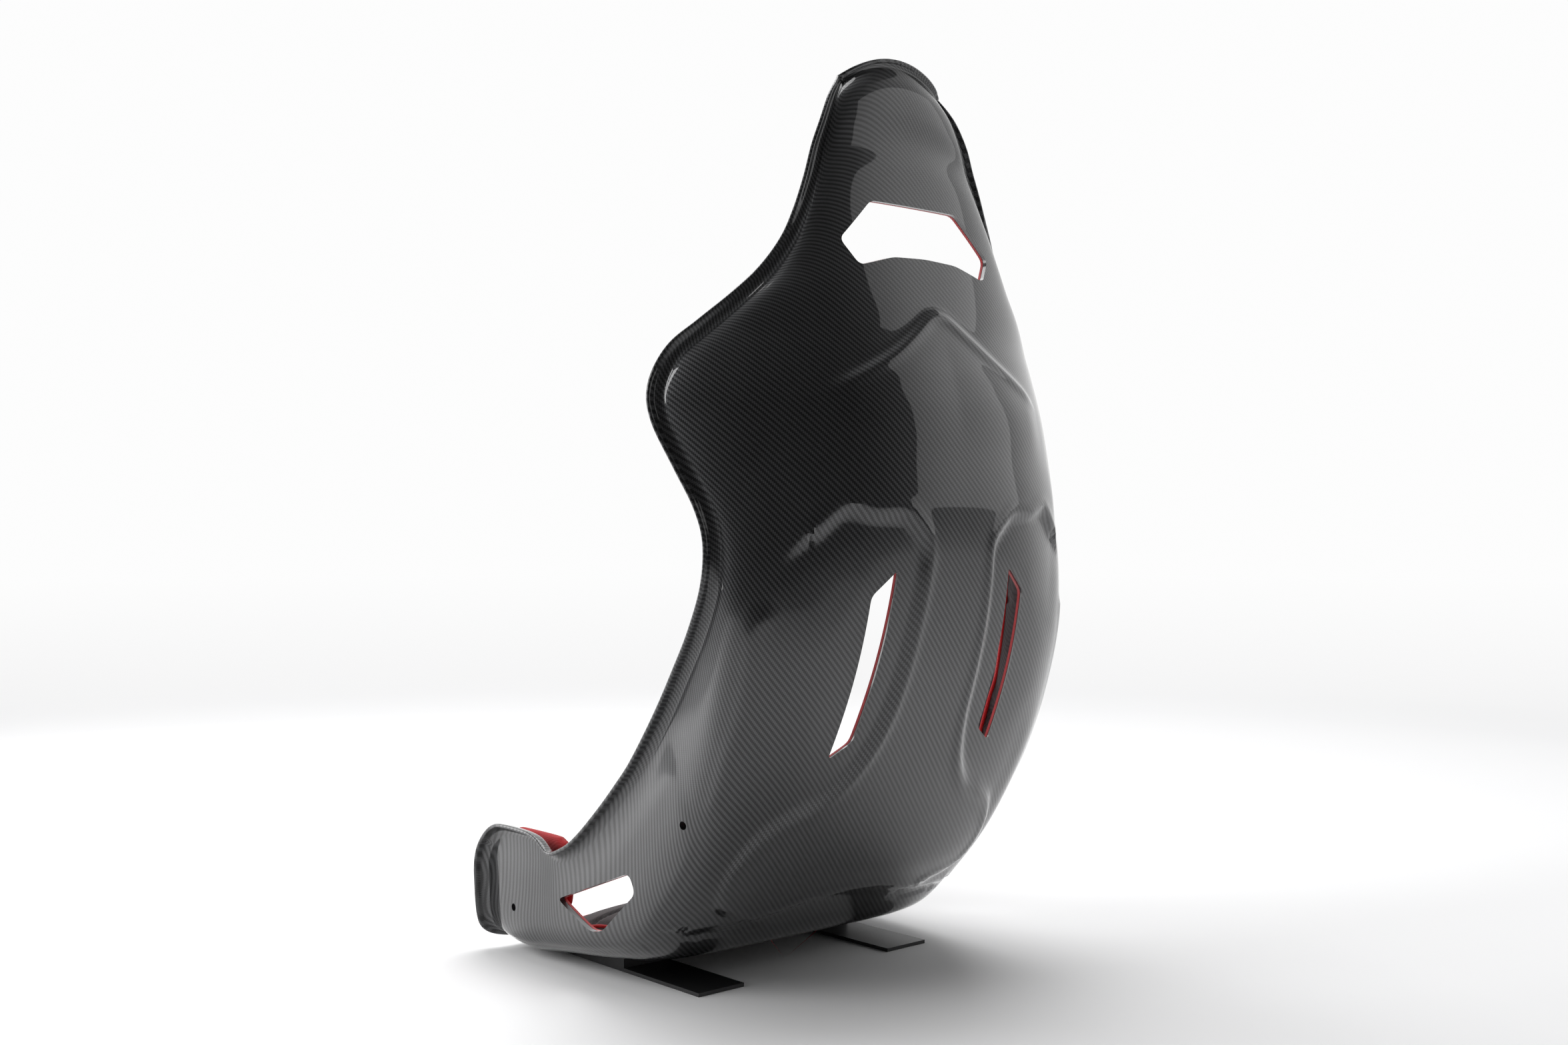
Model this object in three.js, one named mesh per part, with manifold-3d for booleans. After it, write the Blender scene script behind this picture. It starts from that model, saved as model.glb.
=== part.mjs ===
// A fixed-back racing bucket seat: one moulded carbon shell with a rolled rim, base rails, side-mount
// nut plates, thin fabric liners and separate foam pads.
// Millimetres, +Z up. The occupant faces -Y, their left is +X. The floor is z = 0.

import * as THREE from 'three';
import { mergeVertices } from 'three/addons/utils/BufferGeometryUtils.js';
import Module from 'manifold-3d';

const wasm = await Module();
wasm.setup();

// ---------------------------------------------------------------- driving dimensions

const WALL = 4; // shell laminate
const RIM_RADIUS = 9; // inside fillet between wall and rolled rim
const RIM_TURN = 1.4; // angle the rim turns through, radians
const RIM_LIP = 6; // straight lip past the fillet
const RIM_RISE = 16; // how far the rim stands past the wall's end
const RIM_REACH = 13; // how far the rim stands out from the wall
const RIM_START = 1.41; // angle of the section at which the rim takes its direction
const HEAD_RIM = 0.65; // the rim's size round the head, as a share of its full size
const TOP_RIM = 0.6; // how much of that is left along the head's top edge
const PAN_RIM = 0.2; // the rim's size along the pan's front edge
const TOP_START = 0.88; // where along the spine the rim starts to shrink towards the head's top
const EAR_CORNER = 48; // rounding of the thigh support's upper front corner
const EAR_END = 0.2; // where along the spine that rounding is over
const SECTION_STEPS = 240; // fine steps along half a section
const RIM_STEPS = 3; // steps in the rim's turn
const LINER_GAP = 0.6; // clearance between layers
const LINER = 3; // liner thickness
const PAD_GAP = 0.7; // clearance between liner and pad
const SEAM = 0.04; // share of a grid cell left open between neighbouring liners
const PAN_RIM_GROWS = [0.4, 0.75]; // shares of the half width between which it grows to full size
const ROWS = 38; // grid rows along the spine
const HALF_COLS = 13; // grid columns on each side of the centre line
const ARC_SHARE = 0.7; // columns follow arc length this much, the rest follows the turning
const SEAT_CENTRE_Y = 23.4; // moves the design frame's y = 0, the base's rear edge, to the centre of the seat

// Stations from the front of the pan, under the hips and up the back to the head.
// [spine y, spine z, lip x, lip y, lip z, flatness at the spine, squareness at the wall, share of arch]
const STATIONS = [
  [-268, 12, 234, -280, 146, 10, 10, 0],
  [-240, 6, 235, -243, 150, 10, 10, 0],
  [-205, 5, 236, -203, 151, 10, 10, 0],
  [-170, 8, 236, -168, 148, 9, 9, 0],
  [-134, 12, 236, -139, 134, 8, 8, 0],
  [-98, 16, 237, -106, 143, 8, 8, 0],
  [-60, 20, 238, -76, 161, 7.5, 7.5, 0],
  [-22, 25, 239, -36, 193, 7, 7, 0],
  [16, 38, 240, -2, 224, 6.4, 6.4, 0],
  [46, 66, 241, 27, 253, 6.2, 6.2, 0],
  [92, 118, 243, 69, 305, 6, 6, 0],
  [138, 188, 246, 101, 350, 5.4, 5, 0],
  [176, 254, 249, 126, 388, 4.4, 3.2, 0],
  [209, 330, 251, 144, 430, 3.6, 2.1, 0],
  [230, 403, 252, 145, 470, 3.1, 1.55, 0],
  [240, 470, 258, 136, 502, 2.8, 1.3, 0],
  [242, 535, 269, 118, 539, 2.6, 1.2, 0],
  [238, 585, 279, 98, 580, 2.5, 1.15, 0],
  [230, 618, 279, 94, 606, 2.4, 1.15, 0],
  [220, 646, 264, 99, 636, 2.4, 1.2, 0.05],
  [210, 674, 240, 113, 660, 2.4, 1.3, 0.12],
  [201, 704, 211, 128, 687, 2.5, 1.5, 0.25],
  [192, 737, 181, 138, 716, 2.6, 1.8, 0.45],
  [183, 770, 159, 146, 747, 2.8, 2, 0.65],
  [175, 804, 144, 149, 778, 3, 2, 0.8],
  [168, 838, 130, 148, 812, 3, 2, 0.92],
  [161, 870, 118, 146, 846, 3, 2, 1],
  [160, 899, 105, 146, 876, 3, 2, 1],
  [156, 925, 91, 145, 902, 3, 2, 1],
  [149, 945, 75, 142, 922, 3, 2, 1],
];

const HARNESS_SLOT = {
  topX: 61.5, topZ: 799, tipX: 107, tipZ: 756, lowX: 89, lowZ: 731, archZ: 745, archDrop: 2,
};
const OPENING_CORNERS = { harness: 7, side: 6, flank: 9 }; // where a corner's rounding starts
const SIDE_SLOT = [
  [80, 435],
  [109, 410],
  [116, 250],
  [91, 266],
];
const FLANK_OPENING = [
  [-133, 81],
  [-1, 129],
  [9, 110],
  [-52, 61],
  [-73, 57],
];
const SIDE_HOLES = { front: [-220, 57], rear: [88, 189] };
const SIDE_HOLE_R = 4.2;
const BACK_CUT = 400; // how far back the openings' tools reach from y = 0
const FLANK_CUT = [120, 280]; // where the flank openings' tools start and end in x
const NUT_PLATE = { width: 26, thickness: 3, corner: 5, gap: 2.4, pocket: 2, pocketDepth: 60 };
const PLATE_SEARCH = { step: 0.2, margin: 3 }; // grid step, and how far past the plate the flank is measured
const RAIL = { inner: 105, outer: 165, front: -258, rear: -96, gap: 0.4, footRear: 32, footHeight: 4 };

const LINER_TOP = WALL + LINER_GAP + LINER;
const PAD_BASE = LINER_TOP + PAD_GAP;

// Pads that follow the moulding: grid rows, grid columns and foam thickness.
const LINER_ROWS = { pan: [1, 9], back: [9, 27.5], head: [27.5, 36.6], wing: [0.6, 27.5] };
const LINER_COLS = { middle: [7, 19], head: [3, 23], wing: [19, 25.6] };
const SEAT_CUSHION = { rows: [1.2, 8.6], cols: [8.3, 17.7], thickness: 30 };
const LUMBAR_CUSHION = { rows: [13.6, 19], cols: [11.3, 14.7], thickness: 28 };
const BACK_CUSHION = { rows: [20.2, 27], cols: [9, 17], thickness: 22 };
const HEAD_CUSHION = { rows: [32, 36], cols: [6, 20], thickness: 24 };
const HIP_BOLSTER = { rows: [12.6, 20.4], cols: [19.3, 25.2], thickness: 60 };
const SHOULDER_PAD = { rows: [21, 25], cols: [19.6, 24.4], thickness: 14 };
const CROWN_LOSS = 0.45; // how much thinner a pad is at its edge, as a share of its thickness
const THIGH_BOLSTER = { front: -262, rear: -137, low: 54, high: 144, thickness: 19, fromWall: 14, corner: 26 };

const CARBON = { color: 0x242526, roughness: 0.28, metalness: 0 };
const BLACK_STEEL = { color: 0x0b0b0c, roughness: 0.55, metalness: 0.6 };
const ZINC = { color: 0x9a9c9f, roughness: 0.4, metalness: 0.9 };
const RED_FELT = { color: 0xb01218, roughness: 0.9, metalness: 0 };
const GREY_CLOTH = { color: 0x2b2b2d, roughness: 0.92, metalness: 0 };

// ---------------------------------------------------------------- the moulding's surface

const spineCurve = new THREE.CatmullRomCurve3(
  STATIONS.map(([y, z]) => new THREE.Vector3(0, y, z)), false, 'catmullrom');
const lipCurve = new THREE.CatmullRomCurve3(
  STATIONS.map(([, , x, y, z]) => new THREE.Vector3(x, y, z)), false, 'catmullrom');
const formCurve = new THREE.CatmullRomCurve3(
  STATIONS.map(([, , , , , flat, square, arch]) => new THREE.Vector3(flat, square, arch)), false, 'catmullrom');

// One cross-section at t: from the spine out to the wall's end on the occupant's left.
// Fractions (across, up) follow a superellipse whose two ends have their own exponents. A squareness of
// 1 leaves the wall flared open, and a high one turns it upright.
function sectionAt(angle, flat, square) {
  return [Math.sin(angle) ** (2 / flat), 1 - Math.cos(angle) ** (2 / square)];
}

// The section resampled so that its columns gather in the corner.
function sectionFractions(flat, square, halfWidth, height, arcShare) {
  const fine = SECTION_STEPS;
  const points = [];
  for (let k = 0; k <= fine; k += 1) {
    const angle = (Math.PI / 2) * (k / fine);
    const eased = angle - Math.sin(4 * angle) / 8;
    points.push(k === fine ? [1, 1] : sectionAt(eased, flat, square));
  }
  const steps = [[0, 0]];
  let heading = 0;
  for (let k = 1; k <= fine; k += 1) {
    const dx = (points[k][0] - points[k - 1][0]) * halfWidth;
    const dz = (points[k][1] - points[k - 1][1]) * height;
    const next = Math.atan2(dz, dx);
    steps.push([Math.hypot(dx, dz), Math.abs(next - heading)]);
    heading = next;
  }
  const length = steps.reduce((sum, [run]) => sum + run, 0);
  const turning = steps.reduce((sum, [, turn]) => sum + turn, 0);
  const reached = [0];
  for (let k = 1; k <= fine; k += 1) {
    const [run, turn] = steps[k];
    reached.push(reached[k - 1] + arcShare * (run / length) + (1 - arcShare) * (turn / turning));
  }
  return (s) => {
    let k = 1;
    while (k < fine && reached[k] < s) k += 1;
    const mix = (s - reached[k - 1]) / (reached[k] - reached[k - 1]);
    return [0, 1].map((axis) => THREE.MathUtils.lerp(points[k - 1][axis], points[k][axis], mix));
  };
}

// Rounds the free upper front corner of the thigh support: a square corner becomes a quarter circle.
function roundEar(point, rimY, rimZ) {
  const inward = (point.y - rimY) / EAR_CORNER;
  const down = (rimZ - point.z) / EAR_CORNER;
  if (inward >= 1 || down >= 1) return;
  const a = 1 - inward;
  const b = 1 - down;
  point.y = rimY + EAR_CORNER * (1 - a * Math.sqrt(1 - (b * b) / 2));
  point.z = rimZ - EAR_CORNER * (1 - b * Math.sqrt(1 - (a * a) / 2));
}

const earFront = STATIONS[0][3];

// The rim's size beside a row, as a share of its full size: smaller round the head, least at its top.
function rimBeside(t, arch) {
  const top = THREE.MathUtils.smoothstep(t, TOP_START, 1);
  return THREE.MathUtils.lerp(1, HEAD_RIM, arch) * THREE.MathUtils.lerp(1, TOP_RIM, top);
}

function sectionPoints(t) {
  const spine = spineCurve.getPoint(t);
  const lip = lipCurve.getPoint(t);
  const { x: flat, y: square, z: arch } = formCurve.getPoint(t);
  const rim = rimBeside(t, arch);
  const way = new THREE.Vector2(lip.y - spine.y, lip.z - spine.z).normalize();
  way.lerp(new THREE.Vector2(-1, 0), arch).normalize();
  const depthOf = (point) => Math.max((point.y - spine.y) * way.x + (point.z - spine.z) * way.y, 1);
  const wall = new THREE.Vector3(
    lip.x - rim * RIM_REACH, lip.y - rim * RIM_RISE * way.x, lip.z - rim * RIM_RISE * way.y);
  const [nearAcross, nearUp] = sectionAt(RIM_START, flat, square);
  for (let pass = 0; pass < 3; pass += 1) {
    const end = new THREE.Vector2(wall.x * (1 - nearAcross), depthOf(wall) * (1 - nearUp)).normalize();
    const out = rim * (RIM_RISE * end.x + RIM_REACH * end.y);
    const rise = rim * (RIM_RISE * end.y - RIM_REACH * end.x);
    wall.set(lip.x - out, lip.y - rise * way.x, lip.z - rise * way.y);
  }
  if (arch === 1) wall.y = Math.min(wall.y, spine.y);
  const fractions = sectionFractions(
    flat, square, wall.x, depthOf(wall), THREE.MathUtils.lerp(ARC_SHARE, 1, arch * arch));
  const row = [];
  for (let j = -HALF_COLS; j <= HALF_COLS; j += 1) {
    const [across, up] = fractions(Math.abs(j) / HALF_COLS);
    const drop = THREE.MathUtils.lerp(up, across * across, arch);
    const point = new THREE.Vector3(
      Math.sign(j) * across * wall.x,
      THREE.MathUtils.lerp(spine.y, wall.y, up),
      THREE.MathUtils.lerp(spine.z, wall.z, drop));
    if (t < EAR_END) roundEar(point, earFront, wall.z);
    row.push(point);
  }
  return row;
}

const COLS = 2 * HALF_COLS;
const grid = [];
for (let i = 0; i <= ROWS; i += 1) {
  grid.push(sectionPoints(i / ROWS));
}

// Normals point away from the occupant. Each is the mean of its neighbouring cells' normals.
const cellNormals = grid.slice(1).map((row, i) => row.slice(1).map((corner, j) => {
  const diagonal = corner.clone().sub(grid[i][j]);
  const other = grid[i + 1][j].clone().sub(grid[i][j + 1]);
  return other.cross(diagonal).normalize();
}));
const normals = grid.map((row, i) => row.map((_, j) => {
  const sum = new THREE.Vector3();
  for (const a of [i - 1, i]) {
    for (const b of [j - 1, j]) {
      if (cellNormals[a]?.[b]) sum.add(cellNormals[a][b]);
    }
  }
  return sum.normalize();
}));

// The rim's size at a point of the edge, as a share of its full size.
function rimSize(i, j) {
  if (i === 0) {
    const outward = Math.abs(j - HALF_COLS) / HALF_COLS;
    return THREE.MathUtils.lerp(PAN_RIM, 1, THREE.MathUtils.smoothstep(outward, ...PAN_RIM_GROWS));
  }
  return rimBeside(i / ROWS, formCurve.getPoint(i / ROWS).z);
}

// A point at fractional row and column, moved in towards the occupant by depth.
function inside(i, j, depth) {
  const i0 = Math.min(Math.floor(i), ROWS - 1);
  const j0 = Math.min(Math.floor(j), COLS - 1);
  const blend = (field) => {
    const low = field[i0][j0].clone().lerp(field[i0][j0 + 1], j - j0);
    const high = field[i0 + 1][j0].clone().lerp(field[i0 + 1][j0 + 1], j - j0);
    return low.lerp(high, i - i0);
  };
  return blend(grid).addScaledVector(blend(normals), -depth);
}

// ---------------------------------------------------------------- solids

function toGeometry(positions, triangles) {
  const geometry = new THREE.BufferGeometry();
  geometry.setAttribute('position', new THREE.Float32BufferAttribute(positions.flatMap((p) => p.toArray()), 3));
  geometry.setIndex(triangles.flat());
  return geometry;
}

// Points that meet are merged first, and triangles that this closes up are left out.
function toSolid(geometry) {
  const bare = geometry.clone();
  bare.deleteAttribute('normal');
  bare.deleteAttribute('uv');
  const merged = mergeVertices(bare, 1e-3);
  const corners = [...merged.index.array];
  const triangles = [];
  for (let k = 0; k < corners.length; k += 3) {
    const triangle = corners.slice(k, k + 3);
    if (new Set(triangle).size === 3) triangles.push(...triangle);
  }
  return new wasm.Manifold(new wasm.Mesh({
    numProp: 3,
    vertProperties: new Float32Array(merged.attributes.position.array),
    triVerts: new Uint32Array(triangles),
  }));
}

function fromSolid(solid) {
  const { vertProperties, triVerts } = solid.getMesh();
  const geometry = new THREE.BufferGeometry();
  geometry.setAttribute('position', new THREE.BufferAttribute(vertProperties, 3));
  geometry.setIndex(new THREE.BufferAttribute(triVerts, 1));
  return geometry;
}

function cut(geometry, tools) {
  let solid = toSolid(geometry);
  for (const tool of tools) {
    solid = solid.subtract(toSolid(tool));
  }
  return fromSolid(solid);
}

// A closed plate between two depths under a patch of the surface.
function patch([rowStart, rowEnd], [colStart, colEnd], near, far) {
  const stops = (start, end) => {
    const middle = [];
    for (let k = Math.floor(start) + 1; k < end; k += 1) middle.push(k);
    return [start, ...middle, end];
  };
  const rows = stops(rowStart, rowEnd);
  const cols = stops(colStart, colEnd);
  const at = (face, a, b) => (face * rows.length + a) * cols.length + b;
  const positions = [];
  for (const depth of [() => near, far]) {
    for (const i of rows) {
      for (const j of cols) {
        const u = (i - rowStart) / (rowEnd - rowStart);
        const v = (j - colStart) / (colEnd - colStart);
        positions.push(inside(i, j, depth(u, v)));
      }
    }
  }
  const triangles = [];
  const quad = (a, b, c, d) => triangles.push([a, b, c], [a, c, d]);
  for (let a = 0; a < rows.length - 1; a += 1) {
    for (let b = 0; b < cols.length - 1; b += 1) {
      quad(at(0, a, b), at(0, a + 1, b), at(0, a + 1, b + 1), at(0, a, b + 1));
      quad(at(1, a, b), at(1, a, b + 1), at(1, a + 1, b + 1), at(1, a + 1, b));
    }
  }
  const lastRow = rows.length - 1;
  const lastCol = cols.length - 1;
  for (let a = 0; a < lastRow; a += 1) {
    quad(at(0, a, 0), at(1, a, 0), at(1, a + 1, 0), at(0, a + 1, 0));
    quad(at(0, a, lastCol), at(0, a + 1, lastCol), at(1, a + 1, lastCol), at(1, a, lastCol));
  }
  for (let b = 0; b < lastCol; b += 1) {
    quad(at(0, 0, b), at(0, 0, b + 1), at(1, 0, b + 1), at(1, 0, b));
    quad(at(0, lastRow, b), at(1, lastRow, b), at(1, lastRow, b + 1), at(0, lastRow, b + 1));
  }
  return toGeometry(positions, triangles);
}

// The shell: the surface grid, then a rim that turns out all round its edge, given a wall's thickness.
function shellBody() {
  const loop = [];
  for (let j = 0; j < COLS; j += 1) loop.push([0, j]);
  for (let i = 0; i < ROWS; i += 1) loop.push([i, COLS]);
  for (let j = COLS; j > 0; j -= 1) loop.push([ROWS, j]);
  for (let i = ROWS; i > 0; i -= 1) loop.push([i, 0]);

  const positions = [];
  const at = (i, j) => i * (COLS + 1) + j;
  const gridSize = (ROWS + 1) * (COLS + 1);
  for (const depth of [0, WALL]) {
    for (let i = 0; i <= ROWS; i += 1) {
      for (let j = 0; j <= COLS; j += 1) {
        positions.push(grid[i][j].clone().addScaledVector(normals[i][j], -depth));
      }
    }
  }

  const turns = Array.from({ length: RIM_STEPS }, (_, k) => (RIM_TURN * (k + 1)) / RIM_STEPS);
  const profile = turns.map((turn) => ({
    past: RIM_RADIUS * Math.sin(turn), out: RIM_RADIUS * (1 - Math.cos(turn)), turn }));
  const bend = profile.at(-1);
  profile.push({
    past: bend.past + RIM_LIP * Math.cos(RIM_TURN),
    out: bend.out + RIM_LIP * Math.sin(RIM_TURN),
    turn: RIM_TURN,
  });

  const rings = [[], []];
  profile.forEach(({ past, out, turn }) => {
    for (const face of [0, 1]) {
      const start = positions.length;
      loop.forEach(([i, j], b) => {
        const [pi, pj] = loop[(b + loop.length - 1) % loop.length];
        const [ni, nj] = loop[(b + 1) % loop.length];
        const along = grid[ni][nj].clone().sub(grid[pi][pj]).normalize();
        const normal = normals[i][j].clone();
        const away = along.cross(normal).negate().normalize();
        const shift = face * WALL;
        const size = rimSize(i, j);
        positions.push(grid[i][j].clone()
          .addScaledVector(away, size * past + shift * Math.sin(turn))
          .addScaledVector(normal, size * out - shift * Math.cos(turn)));
      });
      rings[face].push(start);
    }
  });

  const triangles = [];
  const quad = (a, b, c, d) => triangles.push([a, b, c], [a, c, d]);
  for (let i = 0; i < ROWS; i += 1) {
    for (let j = 0; j < COLS; j += 1) {
      quad(at(i, j), at(i + 1, j), at(i + 1, j + 1), at(i, j + 1));
      quad(...[at(i, j), at(i, j + 1), at(i + 1, j + 1), at(i + 1, j)].map((k) => k + gridSize));
    }
  }
  loop.forEach(([i, j], b) => {
    const c = (b + 1) % loop.length;
    const [ni, nj] = loop[c];
    const outer = [[at(i, j), at(ni, nj)], ...rings[0].map((start) => [start + b, start + c])];
    const innerStart = [at(i, j) + gridSize, at(ni, nj) + gridSize];
    const inner = [innerStart, ...rings[1].map((start) => [start + b, start + c])];
    for (let k = 0; k < outer.length - 1; k += 1) {
      quad(outer[k][0], outer[k][1], outer[k + 1][1], outer[k + 1][0]);
      quad(inner[k][0], inner[k + 1][0], inner[k + 1][1], inner[k][1]);
    }
    const [p, q] = outer.at(-1);
    const [r, s] = inner.at(-1);
    quad(p, q, s, r);
  });
  return toGeometry(positions, triangles);
}

// ---------------------------------------------------------------- openings

// A closed outline whose corners are rounded by quadratic curves.
function roundedShape(corners, radius) {
  const shape = new THREE.Shape();
  corners.forEach(([x, y], k) => {
    const corner = new THREE.Vector2(x, y);
    const before = new THREE.Vector2(...corners.at(k - 1));
    const after = new THREE.Vector2(...corners[(k + 1) % corners.length]);
    const start = corner.clone().add(before.sub(corner).setLength(radius));
    const end = corner.clone().add(after.sub(corner).setLength(radius));
    if (k === 0) {
      shape.moveTo(start.x, start.y);
    } else {
      shape.lineTo(start.x, start.y);
    }
    shape.quadraticCurveTo(corner.x, corner.y, end.x, end.y);
  });
  shape.closePath();
  return shape;
}

function prism(shape, depth, steps) {
  return new THREE.ExtrudeGeometry(shape, { depth, bevelEnabled: false, curveSegments: steps });
}

// Turns an outline drawn in y and z, extruded along z, so that it is extruded along x.
const ALONG_X = new THREE.Matrix4().makeBasis(
  new THREE.Vector3(0, 1, 0), new THREE.Vector3(0, 0, 1), new THREE.Vector3(1, 0, 0));

// Outlines drawn in x and z, cut through from front to back.
function throughBack(shape) {
  return prism(shape, BACK_CUT, 4).rotateX(Math.PI / 2).translate(0, BACK_CUT, 0);
}

// Outlines drawn in y and z, cut outwards from the middle of the seat through one flank.
function throughFlank(shape, side) {
  const [near, far] = FLANK_CUT;
  return prism(shape, far - near, 4).applyMatrix4(ALONG_X).translate(side > 0 ? near : -far, 0, 0);
}

function harnessSlot() {
  const { topX, topZ, tipX, tipZ, lowX, lowZ, archZ, archDrop } = HARNESS_SLOT;
  const besideZ = archZ - archDrop;
  const shape = roundedShape([
    [-topX, topZ], [-tipX, tipZ], [-lowX, lowZ], [-lowX / 2, besideZ], [0, archZ], [lowX / 2, besideZ],
    [lowX, lowZ], [tipX, tipZ], [topX, topZ]], OPENING_CORNERS.harness);
  return throughBack(shape);
}

const sideSlots = [1, -1].map((side) => throughBack(
  roundedShape(SIDE_SLOT.map(([x, z]) => [side * x, z]), OPENING_CORNERS.side)));
const flankOpenings = [1, -1].map((side) => throughFlank(
  roundedShape(FLANK_OPENING, OPENING_CORNERS.flank), side));

function mountHole([y, z], side, radius) {
  const shape = new THREE.Shape().absarc(y, z, radius, 0, 2 * Math.PI);
  return throughFlank(shape, side);
}

// ---------------------------------------------------------------- small parts

// The innermost x of the flank's inner face over a square round (y, z).
function flankInnerX(y, z, reach) {
  let least = Infinity;
  for (let i = 0; i <= ROWS / 2; i += PLATE_SEARCH.step) {
    for (let j = COLS - HALF_COLS / 2; j <= COLS; j += PLATE_SEARCH.step) {
      const point = inside(i, j, WALL);
      const near = Math.max(Math.abs(point.y - y), Math.abs(point.z - z)) < reach + PLATE_SEARCH.margin;
      if (near) least = Math.min(least, point.x);
    }
  }
  return least;
}

const plateX = ([y, z]) => flankInnerX(y, z, NUT_PLATE.width / 2) - NUT_PLATE.gap;

function nutPlate(place, side) {
  const half = NUT_PLATE.width / 2;
  const shape = roundedShape([[-half, -half], [half, -half], [half, half], [-half, half]], NUT_PLATE.corner);
  shape.holes.push(new THREE.Path().absarc(0, 0, SIDE_HOLE_R, 0, 2 * Math.PI, true));
  const plate = prism(shape, NUT_PLATE.thickness, 6).applyMatrix4(ALONG_X);
  const outerX = plateX(place);
  return plate.translate(side > 0 ? outerX - NUT_PLATE.thickness : -outerX, ...place);
}

// The room left round a nut plate in the layers inside it.
function platePocket([y, z], side) {
  const width = NUT_PLATE.width + 2 * NUT_PLATE.pocket;
  const innerX = plateX([y, z]) - NUT_PLATE.thickness - NUT_PLATE.pocket;
  const { pocketDepth: depth } = NUT_PLATE;
  return new THREE.BoxGeometry(depth, width, width).translate(side * (innerX + depth / 2), y, z);
}

// A wedge-shaped rail that fills the space between the pan's sloping belly and the floor, with a flat
// foot behind it that keeps the seat from tipping back.
function baseRail(side) {
  const belly = grid.map((row) => row[HALF_COLS]).filter(({ y }) => y > RAIL.front && y < RAIL.rear);
  const shape = new THREE.Shape();
  shape.moveTo(RAIL.front, 0);
  shape.lineTo(RAIL.footRear, 0);
  shape.lineTo(RAIL.footRear, RAIL.footHeight);
  shape.lineTo(RAIL.rear, RAIL.footHeight);
  shape.lineTo(RAIL.rear, belly.at(-1).z - RAIL.gap);
  belly.reverse().forEach(({ y, z }) => shape.lineTo(y, z - RAIL.gap));
  shape.lineTo(RAIL.front, belly.at(-1).z - RAIL.gap);
  shape.closePath();
  const rail = prism(shape, RAIL.outer - RAIL.inner, 1).applyMatrix4(ALONG_X);
  return rail.translate(side > 0 ? RAIL.inner : -RAIL.outer, 0, 0);
}

// A pad that follows the moulding, thickest in the middle.
function pad({ rows, cols, thickness }, side = 1) {
  const across = side > 0 ? cols : cols.map((j) => COLS - j).reverse();
  const crown = (u, v) => {
    const edge = Math.max(Math.abs(2 * u - 1), Math.abs(2 * v - 1)) ** 4;
    return PAD_BASE + thickness * (1 - CROWN_LOSS * edge);
  };
  return patch(rows, across, PAD_BASE, crown);
}

function liner(rows, cols, side = 1) {
  const across = side > 0 ? cols : cols.map((j) => COLS - j).reverse();
  return patch(rows, across, WALL + LINER_GAP, () => LINER_TOP);
}

// A span of rows or columns, shortened at its start and end.
function trimmed([start, end], atStart, atEnd) {
  return [start + atStart, end - atEnd];
}

function thighBolster(side) {
  const { front, rear, low, high, thickness, fromWall, corner } = THIGH_BOLSTER;
  const shape = roundedShape([[front, low], [rear, low], [rear, high], [front, high]], corner);
  const outerX = STATIONS[2][2] - RIM_REACH - fromWall;
  const block = prism(shape, thickness, 5).applyMatrix4(ALONG_X);
  return block.translate(side > 0 ? outerX - thickness : -outerX, 0, 0);
}

// ---------------------------------------------------------------- assembly

const group = new THREE.Group();
group.position.set(0, SEAT_CENTRE_Y, 0);

function add(name, geometry, finish) {
  const mesh = new THREE.Mesh(geometry, new THREE.MeshStandardMaterial({ ...finish }));
  mesh.name = name;
  group.add(mesh);
}

const sides = [['left', 1], ['right', -1]];
const sideHoles = Object.entries(SIDE_HOLES);
const holeTools = sides.flatMap(([, side]) =>
  sideHoles.map(([, place]) => mountHole(place, side, SIDE_HOLE_R)));

add('shell', cut(shellBody(), [harnessSlot(), ...sideSlots, ...flankOpenings, ...holeTools]), CARBON);
add('liner_pan', liner(trimmed(LINER_ROWS.pan, 0, SEAM), LINER_COLS.middle), RED_FELT);
add('liner_back', cut(liner(trimmed(LINER_ROWS.back, SEAM, SEAM), LINER_COLS.middle), sideSlots), RED_FELT);
add('liner_head', cut(liner(trimmed(LINER_ROWS.head, SEAM, 0), LINER_COLS.head), [harnessSlot()]), RED_FELT);
add('seat_cushion', pad(SEAT_CUSHION), GREY_CLOTH);
add('lumbar_cushion', pad(LUMBAR_CUSHION), GREY_CLOTH);
add('back_cushion', pad(BACK_CUSHION), GREY_CLOTH);
add('head_cushion', pad(HEAD_CUSHION), GREY_CLOTH);

for (const [name, side] of sides) {
  const pockets = sideHoles.map(([, place]) => platePocket(place, side));
  const wingLiner = liner(trimmed(LINER_ROWS.wing, 0, SEAM), trimmed(LINER_COLS.wing, SEAM, 0), side);
  add(`liner_wing_${name}`, cut(wingLiner, [...flankOpenings, ...pockets]), RED_FELT);
  add(`thigh_bolster_${name}`, thighBolster(side), RED_FELT);
  add(`hip_bolster_${name}`, cut(pad(HIP_BOLSTER, side), pockets), GREY_CLOTH);
  add(`shoulder_pad_${name}`, pad(SHOULDER_PAD, side), GREY_CLOTH);
  add(`base_rail_${name}`, baseRail(side), BLACK_STEEL);
  for (const [end, place] of sideHoles) {
    add(`nut_plate_${end}_${name}`, nutPlate(place, side), ZINC);
  }
}

export default group;
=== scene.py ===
"""A fixed-back racing bucket seat: carbon shell, felt liners, foam pads, base rails and nut plates.

Sizes are in millimetres in the seat's design frame: x to the occupant's left, y back from the base's rear
edge, z up from the floor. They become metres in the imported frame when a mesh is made.
"""

import logging
import math
from collections.abc import Callable
from dataclasses import dataclass, field
from enum import Enum

import bpy
import numpy as np
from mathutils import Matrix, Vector
from mathutils.kdtree import KDTree


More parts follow.
